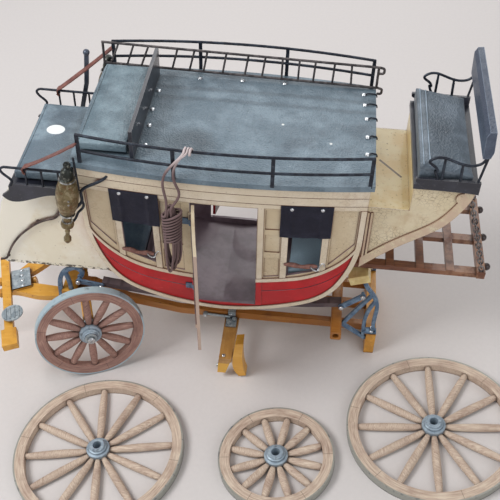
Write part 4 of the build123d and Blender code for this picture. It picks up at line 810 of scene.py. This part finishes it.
def stuffed(name, node, finish, crown=1.6, shifts=(), ends=0.0):
    """A stuffed pad: its packed block, drawn in, blown up as cloth and held to its seat, ten times
    its size while it is worked so that the cloth acts as on a real seat. Edges that lie between two
    values of X, and its ends, may reach over the block as a cover is pulled over a seat's edge."""
    upright = Matrix.Scale(pad_scale, 4) @ coach.inverted()
    mesh = parts[node].data.copy()
    mesh.transform(upright)
    millimetre = pad_scale / 1000
    for vertex in mesh.vertices:
        vertex.co.y += math.copysign(ends * millimetre, vertex.co.y)
        for low_x, high_x, shift in shifts:
            if low_x * millimetre < vertex.co.x < high_x * millimetre:
                vertex.co.x += shift * millimetre
                break
    places = [vertex.co for vertex in mesh.vertices]
    lowest = Vector([min(place[axis] for place in places) for axis in range(3)])
    highest = Vector([max(place[axis] for place in places) for axis in range(3)])
    highest.z += crown * millimetre
    pad = bpy.data.objects.new(name, mesh)
    bpy.context.scene.collection.objects.link(pad)
    remesh = pad.modifiers.new("even_skin", "REMESH")
    remesh.mode = "VOXEL"
    remesh.voxel_size = pad_voxel

    def settled():
        changed = pad.evaluated_get(bpy.context.evaluated_depsgraph_get())
        shape = bpy.data.meshes.new_from_object(changed)
        pad.modifiers.clear()
        pad.data = shape

    settled()
    for vertex, normal in [(vertex, vertex.normal.copy()) for vertex in pad.data.vertices]:
        vertex.co -= normal * shrink * millimetre
    rounding = pad.modifiers.new("soft_edges", "SMOOTH")
    rounding.iterations = 6
    rounding.factor = 0.5
    settled()
    start = [vertex.co.copy() for vertex in pad.data.vertices]
    cloth = pad.modifiers.new("stuffing", "CLOTH")
    cloth.settings.use_pressure = True
    cloth.settings.uniform_pressure_force = pad_pressure
    cloth.settings.effector_weights.gravity = 0
    cloth.settings.tension_stiffness = 12
    cloth.settings.bending_stiffness = 0.4
    for number in range(1, swell_frames + 1):
        bpy.context.scene.frame_set(number)
    settled()
    bpy.context.scene.frame_set(1)
    for vertex, from_place in zip(pad.data.vertices, start):
        moved = vertex.co - from_place
        if moved.length > swell_limit * millimetre:
            moved *= swell_limit * millimetre / moved.length
        place = from_place + moved
        for axis in range(3):
            place[axis] = min(max(place[axis], lowest[axis]), highest[axis])
        vertex.co = place
    finer = pad.modifiers.new("finer", "SUBSURF")
    finer.levels = 1
    settled()
    pad.data.transform(upright.inverted())
    pad.data.polygons.foreach_set("use_smooth", [True] * len(pad.data.polygons))
    pad.data.materials.clear()
    pad.data.materials.append(finish.material)
    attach(pad, "coach")
    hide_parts(node)
    return pad


def surface_of(source):
    """A search tree of a piece's skin, in the coach's frame."""
    back = coach.inverted()
    mesh = source.data
    places = [back @ vertex.co for vertex in mesh.vertices]
    return BVHTree.FromPolygons(places, [tuple(face.vertices) for face in mesh.polygons])


def land(skin, x, y, z, way=(0, 0, -1)):
    """Where a straight line from a point, in millimetres, meets a skin: the place and its normal."""
    place, normal = skin.ray_cast(Vector((x, y, z)) / 1000, Vector(way))[:2]
    if place is None:
        place, normal = skin.find_nearest(Vector((x, y, z)) / 1000)[:2]
    return place * 1000, normal


def extent(made):
    """A piece's least and greatest places in the coach's frame, in millimetres."""
    back = coach.inverted()
    places = [back @ vertex.co * 1000 for vertex in made.data.vertices]
    least = Vector([min(place[axis] for place in places) for axis in range(3)])
    return least, Vector([max(place[axis] for place in places) for axis in range(3)])


def welt(name, pad, route, radius, finish):
    """A corded seam that lies on a pad below a route, which is given in millimetres."""
    skin = surface_of(pad)
    above = []
    for start, end in zip(route, route[1:]):
        start, end = Vector(start), Vector(end)
        count = max(2, round((end - start).length / 2.5))
        above += [start.lerp(end, step / count) for step in range(count)]
    above.append(Vector(route[-1]))
    points = [land(skin, *place)[0] + Vector((0, 0, radius * 0.2)) for place in above]
    piece(name, wire(name, points, radius, steps=2, capped=True), "coach", finish)


cabin_leather = blue_leather("cabin_leather", (92, 112, 130), (116, 138, 154), (66, 80, 96))
# Painted light: the leather towards the cabin's rear is painted much paler, standing for light that falls on
# the far seat and back.
lit_far_seat = cabin_leather.ramp(cabin_leather.axes(coach)[0], 0.03, 0.04)
cabin_leather.paint(lit_far_seat, (184, 212, 228), 0.85)
stuffed("cabin_cushion_pads", "cabin_cushions", cabin_leather, shifts=[(98, 106, -13)])
stuffed("cabin_back_pads", "cabin_backs", cabin_leather, crown=0.0)


# Window curtains: four navy leather flaps tacked under the cornice, hanging flat, with a pressed fold
# below each of their two studs. A rolled strap with a bright wire hook crosses each window's foot.
navy_leather = Finish("navy_leather", (40, 42, 62), 0.42)
navy_leather.mottle(0.012, 0.42, 0.7, (54, 56, 76))
# Painted shade in the curtains' folds and where they are closed in.
navy_leather.paint(navy_leather.crevices(0.004), (20, 20, 32), 0.8)
navy_leather.relief(navy_leather.cells(0.0009, "SMOOTH_F1"), 0.0002, 0.5)
navy_leather.bumps(0.004, 0.0004, 0.5)
curtain_skin = surface_of(parts["window_curtains"])
beside_coach = 90
curtain_spans = {"front": (-58.0, -17.0), "rear": (81.4, 123.8)}
curtain_low, curtain_high = 189.8, 227.3
curtain_thickness = 0.8
curtain_edge = 0.3
curtain_columns, curtain_rows = 40, 26
crease_width, crease_depth = 1.1, 0.55
wave_depth, wave_rate = 0.25, 0.42
curl_start, curl_depth = 0.86, 0.7
stud_inset = 9.0
stud_drop = 4.0
stud_outline = [(0, -0.3), (1.7, -0.3), (1.6, 0.3), (1.1, 0.8), (0, 1.0)]
curtain_studs = []
for row_name, (front_x, rear_x) in curtain_spans.items():
    folds = (front_x + stud_inset, rear_x - stud_inset)
    for side in hand:
        cloth = bmesh.new()
        grid = []
        for row in range(curtain_rows + 1):
            down = row / curtain_rows
            z = curtain_high - curtain_edge - down * (curtain_high - curtain_low - 2 * curtain_edge)
            line = []
            for column in range(curtain_columns + 1):
                share = column / curtain_columns
                x = front_x + curtain_edge + (rear_x - front_x - 2 * curtain_edge) * share
                place, _ = land(curtain_skin, x, side * beside_coach, z, (0, -side, 0))
                crease = sum(math.exp(-((x - fold) / crease_width) ** 2) for fold in folds)
                wave = wave_depth * math.sin(wave_rate * (x - front_x) + 1.3 * side) * down
                curl = curl_depth * max(0.0, down - curl_start) / (1 - curl_start)
                out = crease_depth * crease * min(1.0, 4 * down) + wave + curl - curtain_thickness
                line.append(cloth.verts.new(spot(place.x, place.y + side * out, place.z)))
            grid.append(line)
        for upper, lower in zip(grid, grid[1:]):
            for column in range(curtain_columns):
                corners = (upper[column], upper[column + 1], lower[column + 1], lower[column])
                cloth.faces.new(corners if side < 0 else corners[::-1]).smooth = True
        bmesh.ops.solidify(cloth, geom=cloth.faces[:], thickness=curtain_thickness / 1000)
        curtain = piece(f"curtain_{hand[side]}_{row_name}", mesh_of("curtain", cloth), "coach", navy_leather,
                        ["window_curtains"])
        hung_skin = surface_of(curtain)
        for fold in folds:
            place, _ = land(hung_skin, fold, side * beside_coach, curtain_high - stud_drop, (0, -side, 0))
            curtain_studs.append((stud_outline, spot(*place), outward[side]))
piece("curtain_studs", turned_mesh("curtain_studs", curtain_studs), "coach", bright_steel)

strap_brown = Finish("rolled_strap", (112, 74, 66), 0.55)
strap_brown.mottle(0.003, 0.4, 0.7, (148, 104, 92))
# Painted shade where the rolled strap is closed in.
strap_brown.paint(strap_brown.crevices(0.002), (48, 28, 28))
strap_brown.bumps(0.0008, 0.0003)
wall_skin = surface_of(parts["side_panels"])
window_feet = {"front": (-52.5, -22.0), "rear": (87.0, 118.5)}
foot_z, foot_drop = 154.0, 3.0
roll_swell = (0.6, 1.1, 1.25, 0.75, 1.15, 1.2, 0.7)
roll_radius, hook_radius = 1.9, 0.6
for window, (front_x, rear_x) in window_feet.items():
    for side in hand:
        place_name = f"{hand[side]}_{window}"
        front_place, _ = land(wall_skin, front_x, side * beside_coach, foot_z, (0, -side, 0))
        rear_place, _ = land(wall_skin, rear_x, side * beside_coach, foot_z - foot_drop, (0, -side, 0))
        roll_points = []
        for share in (0.0, 0.15, 0.3, 0.45, 0.6, 0.75, 0.9):
            lift = Vector((0, side * (1.2 + 0.5 * math.sin(7 * share)), 1.1 * math.sin(9 * share)))
            roll_points.append(front_place.lerp(rear_place, share) + lift)
        roll = wire("strap_roll_" + place_name, roll_points, roll_radius, sides=3, capped=True)
        for point, thick in zip(roll.splines[0].points, roll_swell):
            point.radius = thick
        piece("strap_roll_" + place_name, roll, "coach", strap_brown)
        hook_start = front_place.lerp(rear_place, 0.72)
        hook_points = [hook_start + Vector((x, side * y, z))
                       for x, y, z in ((0, 3.2, 1.5), (3, 3.6, -2.6), (7, 3.0, -1.8))]
        hook_points += [rear_place + Vector((x, side * y, z))
                        for x, y, z in ((-2.0, 1.6, 1.5), (1.0, 1.0, 6.0), (3.0, 1.0, 4.0), (2.4, 0.5, 1.0))]
        hook = wire("strap_hook_" + place_name, hook_points, hook_radius)
        piece("strap_hook_" + place_name, hook, "coach", bright_steel)


# Roof: blue-grey leather stretched over the crowned boards and tacked down, marked by two shallow
# seams and dust, with round-headed studs behind the seat board and hooks along its rear edge.
roof_leather = blue_leather("roof_leather", (96, 114, 126), (122, 140, 152), (62, 76, 88), 0.0013)
roof_x, roof_y, _ = roof_leather.axes(coach)
seam_wander = roof_leather.calc("MULTIPLY", roof_leather.noise(0.06), 0.008)
for seam_y in (0.030, 0.046):
    seam_off = roof_leather.calc("SUBTRACT", roof_leather.calc("ADD", roof_y, seam_wander), seam_y)
    seam = roof_leather.ramp(roof_leather.calc("ABSOLUTE", seam_off), 0.0006, 0.0050, flip=True)
    roof_leather.paint(seam, (54, 66, 76), 0.4)
    roof_leather.relief(seam, -0.0005, 0.5)
stain = roof_leather.oval(roof_x, roof_y, (0.004, -0.035))
roof_leather.paint(roof_leather.ramp(stain, 0.00003, 0.0007, flip=True), (52, 62, 70), 0.7)
for chip_place in ((0.0765, -0.0011), (0.1168, -0.0214)):
    chip = roof_leather.oval(roof_x, roof_y, chip_place)
    roof_leather.paint(roof_leather.ramp(chip, 0.0000004, 0.000002, flip=True), (226, 228, 226))
roof_leather.on("roof")
roof_skin = surface_of(parts["roof"])
roof_stud = [(0, -0.4), (2.0, -0.4), (2.1, 0.5), (1.5, 1.4), (0, 1.8)]
above_roof = 300
front_studs = [(-32.7, 33.1), (-33.2, 5.2), (-31.9, -16.9), (-30.5, -41.9), (-0.8, 58.5), (36.4, 60.0),
               (73.5, 60.5)]
rear_studs = [(142.5, 52.0), (143.5, 35.5), (145.0, 15.0), (146.0, -10.0), (146.0, -32.0)]
stud_forms = []
for x, y in front_studs + rear_studs:
    place, normal = land(roof_skin, x, y, above_roof)
    stud_forms.append((roof_stud, spot(*place), coach.to_3x3() @ normal))
piece("roof_studs", turned_mesh("roof_studs", stud_forms, 16), "coach", bright_steel)
black_iron = Finish("black_iron", (34, 38, 48), 0.38, metallic=0.5)
black_iron.mottle(0.006, 0.42, 0.7, (58, 66, 78))
black_iron.mottle(0.002, 0.62, 0.7, (104, 100, 98), 0.6, detail=7.0)
black_iron.bumps(0.0012, 0.0002, 0.5)
black_iron.gloss(0.004, 0.28, 0.5)
black_iron.on("roof_rails", "arm_rails", "lamp_brackets")
guard_iron = Finish("guard_iron", (62, 58, 60), 0.5, metallic=0.4)
guard_iron.mottle(0.005, 0.42, 0.6, (98, 92, 92))
guard_iron.bumps(0.001, 0.0002, 0.5)
guard_iron.on("ladder_guard")
roof_edge_x = 151.5
for number, (x, y) in enumerate(rear_studs):
    place, _ = land(roof_skin, x, y, above_roof)
    edge, _ = land(roof_skin, roof_edge_x, y, above_roof)
    hook_route = [place + Vector((1.2, 0, 0.9)), place + Vector((3.4, 1.2, 1.5)),
                  edge + Vector((-1.0, 1.6, 0.9)), edge + Vector((2.3, 1.8, 0.5)),
                  edge + Vector((2.5, 1.9, -2.4))]
    hook = wire(f"roof_hook_{number}", hook_route, hook_radius, sides=1, capped=True)
    piece(f"roof_hook_{number}", hook, "coach", black_iron)

black_board = Finish("black_board", (34, 36, 46), 0.36, coat=0.15)
black_board.mottle(0.02, 0.42, 0.7, (48, 50, 62))
board_grain = black_board.noise(1.0, along=black_board.mapped(coach, (500, 25, 500)))
black_board.paint(black_board.ramp(board_grain, 0.6, 0.7), (92, 92, 96), 0.4)
black_board.relief(board_grain, 0.00012, 0.6)
black_board.gloss(0.01, 0.26, 0.46)
black_board.paint(black_board.corners(0.0006), (112, 110, 112), 0.6)
black_board.on("roof_seat_back", "driver_seat_board")
pale_leather = blue_leather("pale_seat_leather", (94, 112, 122), (126, 146, 156), (62, 78, 88))
roof_pad = stuffed("roof_seat_pad", "roof_seat_cushion", pale_leather, shifts=[(-80, -70, -7.5)], ends=4.5)
low, high = extent(roof_pad)
roof_seam = [(low.x + 2.0, low.y + 4, above_roof), (low.x + 2.0, high.y - 4, above_roof)]
welt("roof_seat_welt", roof_pad, roof_seam, 0.5, pale_leather)


# Driver's seat: a stuffed leather pad on a black board, between iron arms; two brown straps tie the
# arms to the roof. The brake lever stands at the right.
driver_leather = blue_leather("driver_leather", (98, 114, 126), (136, 154, 166), (62, 76, 88))
highlight_x, highlight_y, _ = driver_leather.axes(coach)
# Painted highlight: a near-white oval on the driver's cushion.
patch = driver_leather.oval(highlight_x, highlight_y, (-0.1207, 0.0095), (0.0080, 0.0066))
driver_leather.paint(driver_leather.ramp(patch, 0.95, 1.05, flip=True), (240, 244, 244))
driver_pad = stuffed("driver_seat_pad", "driver_cushion", driver_leather)
low, high = extent(driver_pad)
seam_inset, above_pad = 3, 240
front_x, rear_x = low.x + seam_inset, high.x - seam_inset
left_y, right_y = low.y + seam_inset, high.y - seam_inset
driver_seam = [(rear_x, left_y, above_pad), (front_x, left_y, above_pad), (front_x, right_y, above_pad),
               (rear_x, right_y, above_pad)]
welt("driver_seat_welt", driver_pad, driver_seam, 0.45, driver_leather)
strap_leather = Finish("strap_leather", (108, 66, 60), 0.5)
strap_leather.mottle(0.01, 0.4, 0.7, (132, 86, 76))
strap_leather.mottle(0.003, 0.56, 0.66, (74, 42, 40), 0.7)
strap_leather.bumps(0.0009, 0.0002)
strap_width, strap_thickness = 6.0, 0.9
strap_sway = 0.15
strap_route = [(-78.6, 69.5, 270.4), (-80.5, 69.0, 269.2), (-92.0, 66.0, 259.6), (-104.0, 62.5, 250.1),
               (-116.0, 59.2, 240.9), (-126.6, 55.9, 233.2), (-128.8, 55.7, 232.3), (-130.3, 55.6, 230.4),
               (-130.2, 55.5, 227.6), (-128.6, 55.5, 225.8)]
for side in hand:
    route = [Vector((x, side * y, z)) for x, y, z in strap_route]
    band = bmesh.new()
    loops = []
    for number, place in enumerate(route):
        before, after = route[max(0, number - 1)], route[min(len(route) - 1, number + 1)]
        run = (after - before).normalized()
        across = Vector((-run.y, run.x, 0)).normalized()
        if across.y < 0:
            across = -across
        up = across.cross(run)
        if up.z < 0 and run.z < -0.9:
            up = -up
        half = strap_width / 2 + strap_sway * math.sin(1.9 * number + side)
        loop = []
        for left, rise in ((-1, -1), (1, -1), (1, 1), (-1, 1)):
            corner = place + across * half * left + up * strap_thickness / 2 * rise
            loop.append(band.verts.new(spot(*corner)))
        loops.append(loop)
    for loop, after in zip(loops, loops[1:]):
        for corner in range(4):
            other = (corner + 1) % 4
            band.faces.new((loop[corner], loop[other], after[other], after[corner]))
    band.faces.new(loops[0][::-1])
    band.faces.new(loops[-1])
    piece(f"seat_strap_{hand[side]}", board_mesh("seat_strap", band), "coach", strap_leather,
          ["seat_straps"])
rod_iron = Finish("rod_iron", (56, 44, 42), 0.42, metallic=0.3)
rod_iron.mottle(0.006, 0.45, 0.65, (96, 80, 76))
rod_route = [(-106.4, 185.5), (-110.2, 174.0), (-113.6, 169.0), (-120.0, 167.2), (-130.0, 162.4),
             (-146.2, 148.0), (-156.0, 134.5), (-161.6, 123.5), (-164.0, 116.5), (-166.5, 113.4),
             (-171.0, 112.6)]
rod_radius = 1.05
rod_y, rod_stud_y = 47.0, 45.0
rod_studs = []
for side in hand:
    rod_points = [(x, side * rod_y, z) for x, z in rod_route]
    foot_rod = wire("foot_rod", rod_points, rod_radius, sides=3, capped=True)
    piece(f"foot_rod_{hand[side]}", foot_rod, "coach", rod_iron, ["foot_rods"])
    for x, z in ((-110.6, 173.0), (-130.0, 162.4), (-163.8, 116.8)):
        rod_studs.append((bolt_outline, spot(x, side * rod_stud_y, z), outward[side]))
piece("foot_rod_studs", turned_mesh("foot_rod_studs", rod_studs, 8), "coach", rod_iron)
lever_steel = Finish("lever_steel", (74, 82, 96), 0.4, metallic=0.6)
lever_steel.mottle(0.01, 0.4, 0.7, (108, 114, 126))
lever_steel.bumps(0.001, 0.0001)
lever_steel.on("brake_lever")


# Lamps: turned bronze carriage lamps, olive and brown with age, with a blackened chimney that has
# bright rings; they hang from scrolled iron brackets on the body's front corners.
lamp_bronze = Finish("lamp_bronze", (112, 98, 70), 0.38, metallic=0.7)
lamp_bronze.mottle(0.008, 0.4, 0.66, (150, 138, 104), detail=6.0)
lamp_bronze.mottle(0.004, 0.5, 0.66, (106, 70, 44), 0.8)
# Painted shade where the lamp is closed in.
lamp_bronze.paint(lamp_bronze.crevices(0.004), (36, 28, 24), 0.8)
lamp_bronze.bumps(0.0015, 0.0003, 0.7)
lamp_bronze.gloss(0.003, 0.28, 0.52)
lamp_lean = math.radians(6.4)
lamp_outline = [
    (0, -42.5), (1.6, -42.0), (3.2, -39.5), (3.2, -36.5), (1.8, -34.0), (1.7, -30.5), (2.3, -29.0),
    (1.8, -27.5), (1.9, -25.6), (3.2, -25.0), (3.6, -24.0), (5.2, -22.6), (5.6, -20.5), (5.0, -18.4),
    (3.6, -16.6), (3.3, -15.4), (3.4, -11.0), (3.9, -9.6), (5.2, -8.6), (7.2, -4.0), (8.9, 3.0), (9.4, 8.5),
    (9.3, 13.5), (8.5, 19.0), (7.2, 24.0), (6.0, 27.0), (6.0, 29.0), (5.1, 29.6), (5.2, 33.0), (4.6, 36.6),
    (2.6, 38.8), (1.5, 39.6), (1.5, 40.4), (2.8, 41.2), (3.1, 42.6), (2.3, 44.0), (0, 44.5)]
lamp_ring = [(5.6, 0), (6.6, 0.1), (7.0, 0.7), (6.6, 1.3), (5.6, 1.4)]
lamp_low_ring = [(3.2, 0), (6.0, 0.2), (6.5, 0.8), (6.0, 1.5), (3.2, 1.7)]
lamp_waist_ring = [(2.9, 0), (4.4, 0.2), (4.7, 0.7), (4.4, 1.2), (2.9, 1.4)]
lamp_rivet = [(0, -0.2), (0.9, -0.2), (0.8, 0.5), (0, 0.8)]
lamp_place = Vector((-0.0902, 0.0765, 0.213))
rivet_way = Vector((0.35, 0.93, 0))
rivet_reach = 0.0093
lamp_bodies = []
lamp_forms = []
for side in hand:
    hung_at = Matrix.Translation((lamp_place.x, side * lamp_place.y, lamp_place.z))
    lamp_frame = coach @ hung_at @ Matrix.Rotation(lamp_lean, 4, "Y")
    lamp_up = lamp_frame.to_3x3() @ Vector((0, 0, 1))
    lamp_bodies.append((lamp_outline, lamp_frame.to_translation(), lamp_up))
    for outline, height in ((lamp_ring, 0.0272), (lamp_low_ring, -0.0098), (lamp_waist_ring, -0.0176)):
        lamp_forms.append((outline, lamp_frame @ Vector((0, 0, height)), lamp_up))
    way = lamp_frame.to_3x3() @ Vector((rivet_way.x, side * rivet_way.y, 0))
    for height in (0.0085, 0.0125):
        place = lamp_frame @ Vector((0, 0, height)) + way.normalized() * rivet_reach
        lamp_forms.append((lamp_rivet, place, way))
patina = lamp_bronze.ramp(lamp_bronze.noise(0.0035, detail=5.0), 0.5, 0.6)
lamp_bronze.paint(patina, (176, 166, 138), 0.45)
lamp_bronze.mottle(0.0025, 0.58, 0.66, (70, 52, 38), 0.6)
chimney = lamp_bronze.ramp(lamp_bronze.axes(coach)[2], 0.2412, 0.2422)
lamp_bronze.paint(chimney, (32, 40, 42), 0.94)
chimney_wear = lamp_bronze.calc("MULTIPLY", chimney, lamp_bronze.ramp(lamp_bronze.noise(0.004), 0.55, 0.62))
lamp_bronze.paint(chimney_wear, (128, 130, 120), 0.6)
lamp_mesh = turned_mesh("carriage_lamps", lamp_bodies, 32)
piece("carriage_lamps", lamp_mesh, "coach", lamp_bronze, ["lamps"])
worn_silver = Finish("worn_silver", (168, 168, 166), 0.34, metallic=0.8)
worn_silver.mottle(0.003, 0.42, 0.62, (84, 80, 76))
worn_silver.bumps(0.0008, 0.0001)
piece("lamp_trims", turned_mesh("lamp_trims", lamp_forms, 24), "coach", worn_silver)


# Rear seat: a thick leather pad whose front edge is rolled and sewn with two corded seams, on a black
# board with curled sides; its back board leans out over it.
rear_leather = blue_leather("rear_seat_leather", (86, 98, 108), (110, 122, 134), (56, 64, 74), 0.0015)
rear_pad = stuffed("rear_seat_pad", "rear_seat_cushion", rear_leather, shifts=[(180, 190, -2.5)], ends=2.5)
low, high = extent(rear_pad)
# Painted highlight: the welts are a paler copy of the seat leather, standing for the light they catch.
lit_welt_leather = blue_leather("rear_welt_painted_highlight", (132, 148, 162), (162, 178, 192), (96, 108, 122))
for number, inset in enumerate((3.2, 8.0)):
    rear_seam = [(low.x + inset, low.y + 2.5, above_roof), (low.x + inset, high.y - 2.5, above_roof)]
    welt(f"rear_seat_welt_{number}", rear_pad, rear_seam, 0.6, lit_welt_leather)
arm_posts = [[(203.0, 253.0), (202.9, 270.0)], [(217.4, 253.0), (216.8, 268.0)],
             [(200.5, 253.0), (200.0, 257.0), (198.0, 260.0), (197.0, 264.0)]]
post_radius, post_y = 1.15, 57.25
for side in hand:
    for number, post in enumerate(arm_posts):
        post_line = wire("arm_post", [(x, side * post_y, z) for x, z in post], post_radius)
        piece(f"arm_post_{hand[side]}_{number}", post_line, "coach", black_iron)
back_cover = blue_leather("rear_back_cover", (62, 72, 90), (82, 94, 112), (42, 50, 64))
# Painted highlight along the back cover's rolled edges.
back_cover.paint(back_cover.corners(0.0009), (150, 164, 182), 0.7)
back_cover.on("rear_seat_back")
side_top, side_front = 0.2555, 0.1835
curl_low = 0.250
low_board = parts["rear_seat_board"].data.copy()
for vertex in low_board.vertices:
    place = coach.inverted() @ vertex.co
    if place.z > curl_low:
        place.x = max(place.x, side_front)
    place.z = min(place.z, side_top)
    vertex.co = coach @ place
piece("rear_seat_base", low_board, "coach", black_board, ["rear_seat_board"])


# Luggage platform and chains: brown varnished bars, rubbed pale on their rear ends, with black knobs.
# Each chain is bent from steel wire, link through link, from the seat down to the end bar.
varnish = Finish("brown_varnish", (104, 62, 44), 0.38, coat=0.25)
bar_grain = varnish.noise(1.0, along=varnish.mapped(coach, (40, 300, 500)))
varnish.paint(varnish.ramp(bar_grain, 0.42, 0.7), (132, 84, 58))
varnish.mottle(0.012, 0.45, 0.65, (72, 40, 32), 0.6)
bar_x = varnish.axes(coach)[0]
rubbed = varnish.ramp(varnish.noise(0.01), 0.35, 0.6)
rubbed = varnish.calc("MULTIPLY", varnish.ramp(bar_x, 0.2, 0.25), rubbed)
varnish.paint(rubbed, (168, 128, 100), 0.75)
varnish.paint(varnish.ramp(bar_x, 0.2594, 0.2600), (48, 34, 34))
# Painted shade where the bars are closed in.
varnish.paint(varnish.crevices(0.004), (44, 24, 20), 0.8)
varnish.relief(bar_grain, 0.00012, 0.5)
varnish.on("luggage_platform")

chain_route = [Vector((230.5, 0, 235.0)), Vector((232.6, 0, 226.2)), Vector((242.7, 0, 194.5)),
               Vector((255.5, 0, 151.0))]
chain_y = 47.0
link_pitch = 4.6
link_half_length, link_half_width, link_wire = 3.3, 2.0, 0.75
link_steps, wire_sides = 16, 6
chain_shape = bmesh.new()
runs = [(start, end, (end - start).length) for start, end in zip(chain_route, chain_route[1:])]
chain_length = sum(length for _, _, length in runs)
link_count = int(chain_length / link_pitch)
for side in hand:
    for number in range(link_count):
        reach = (number + 0.5) * chain_length / link_count
        for start, end, length in runs:
            if reach <= length:
                break
            reach -= length
        along = (end - start).normalized()
        middle = start.lerp(end, reach / length) + Vector((0, side * chain_y, 0))
        flat = Vector((0, 1, 0)) if number % 2 else along.cross(Vector((0, 1, 0)))
        upward = along.cross(flat)
        rings = []
        for step in range(link_steps):
            angle = 2 * math.pi * step / link_steps
            ahead, aside = along * math.cos(angle), flat * math.sin(angle)
            centre = middle + ahead * link_half_length + aside * link_half_width
            ring = []
            for turn in range(wire_sides):
                round_wire = 2 * math.pi * turn / wire_sides
                out = (ahead + aside).normalized() * math.cos(round_wire) + upward * math.sin(round_wire)
                ring.append(chain_shape.verts.new(spot(*(centre + out * link_wire))))
            rings.append(ring)
        for ring, after in zip(rings, rings[1:] + rings[:1]):
            for turn in range(wire_sides):
                other = (turn + 1) % wire_sides
                chain_shape.faces.new((ring[turn], ring[other], after[other], after[turn])).smooth = True
chain_mesh = board_mesh("platform_chains", chain_shape)
chain_steel = Finish("chain_steel", (142, 138, 138), 0.36, metallic=0.7)
chain_steel.mottle(0.003, 0.42, 0.62, (62, 56, 58))
chain_steel.bumps(0.0006, 0.0001)
piece("platform_chains", chain_mesh, "coach", chain_steel, ["chains"])
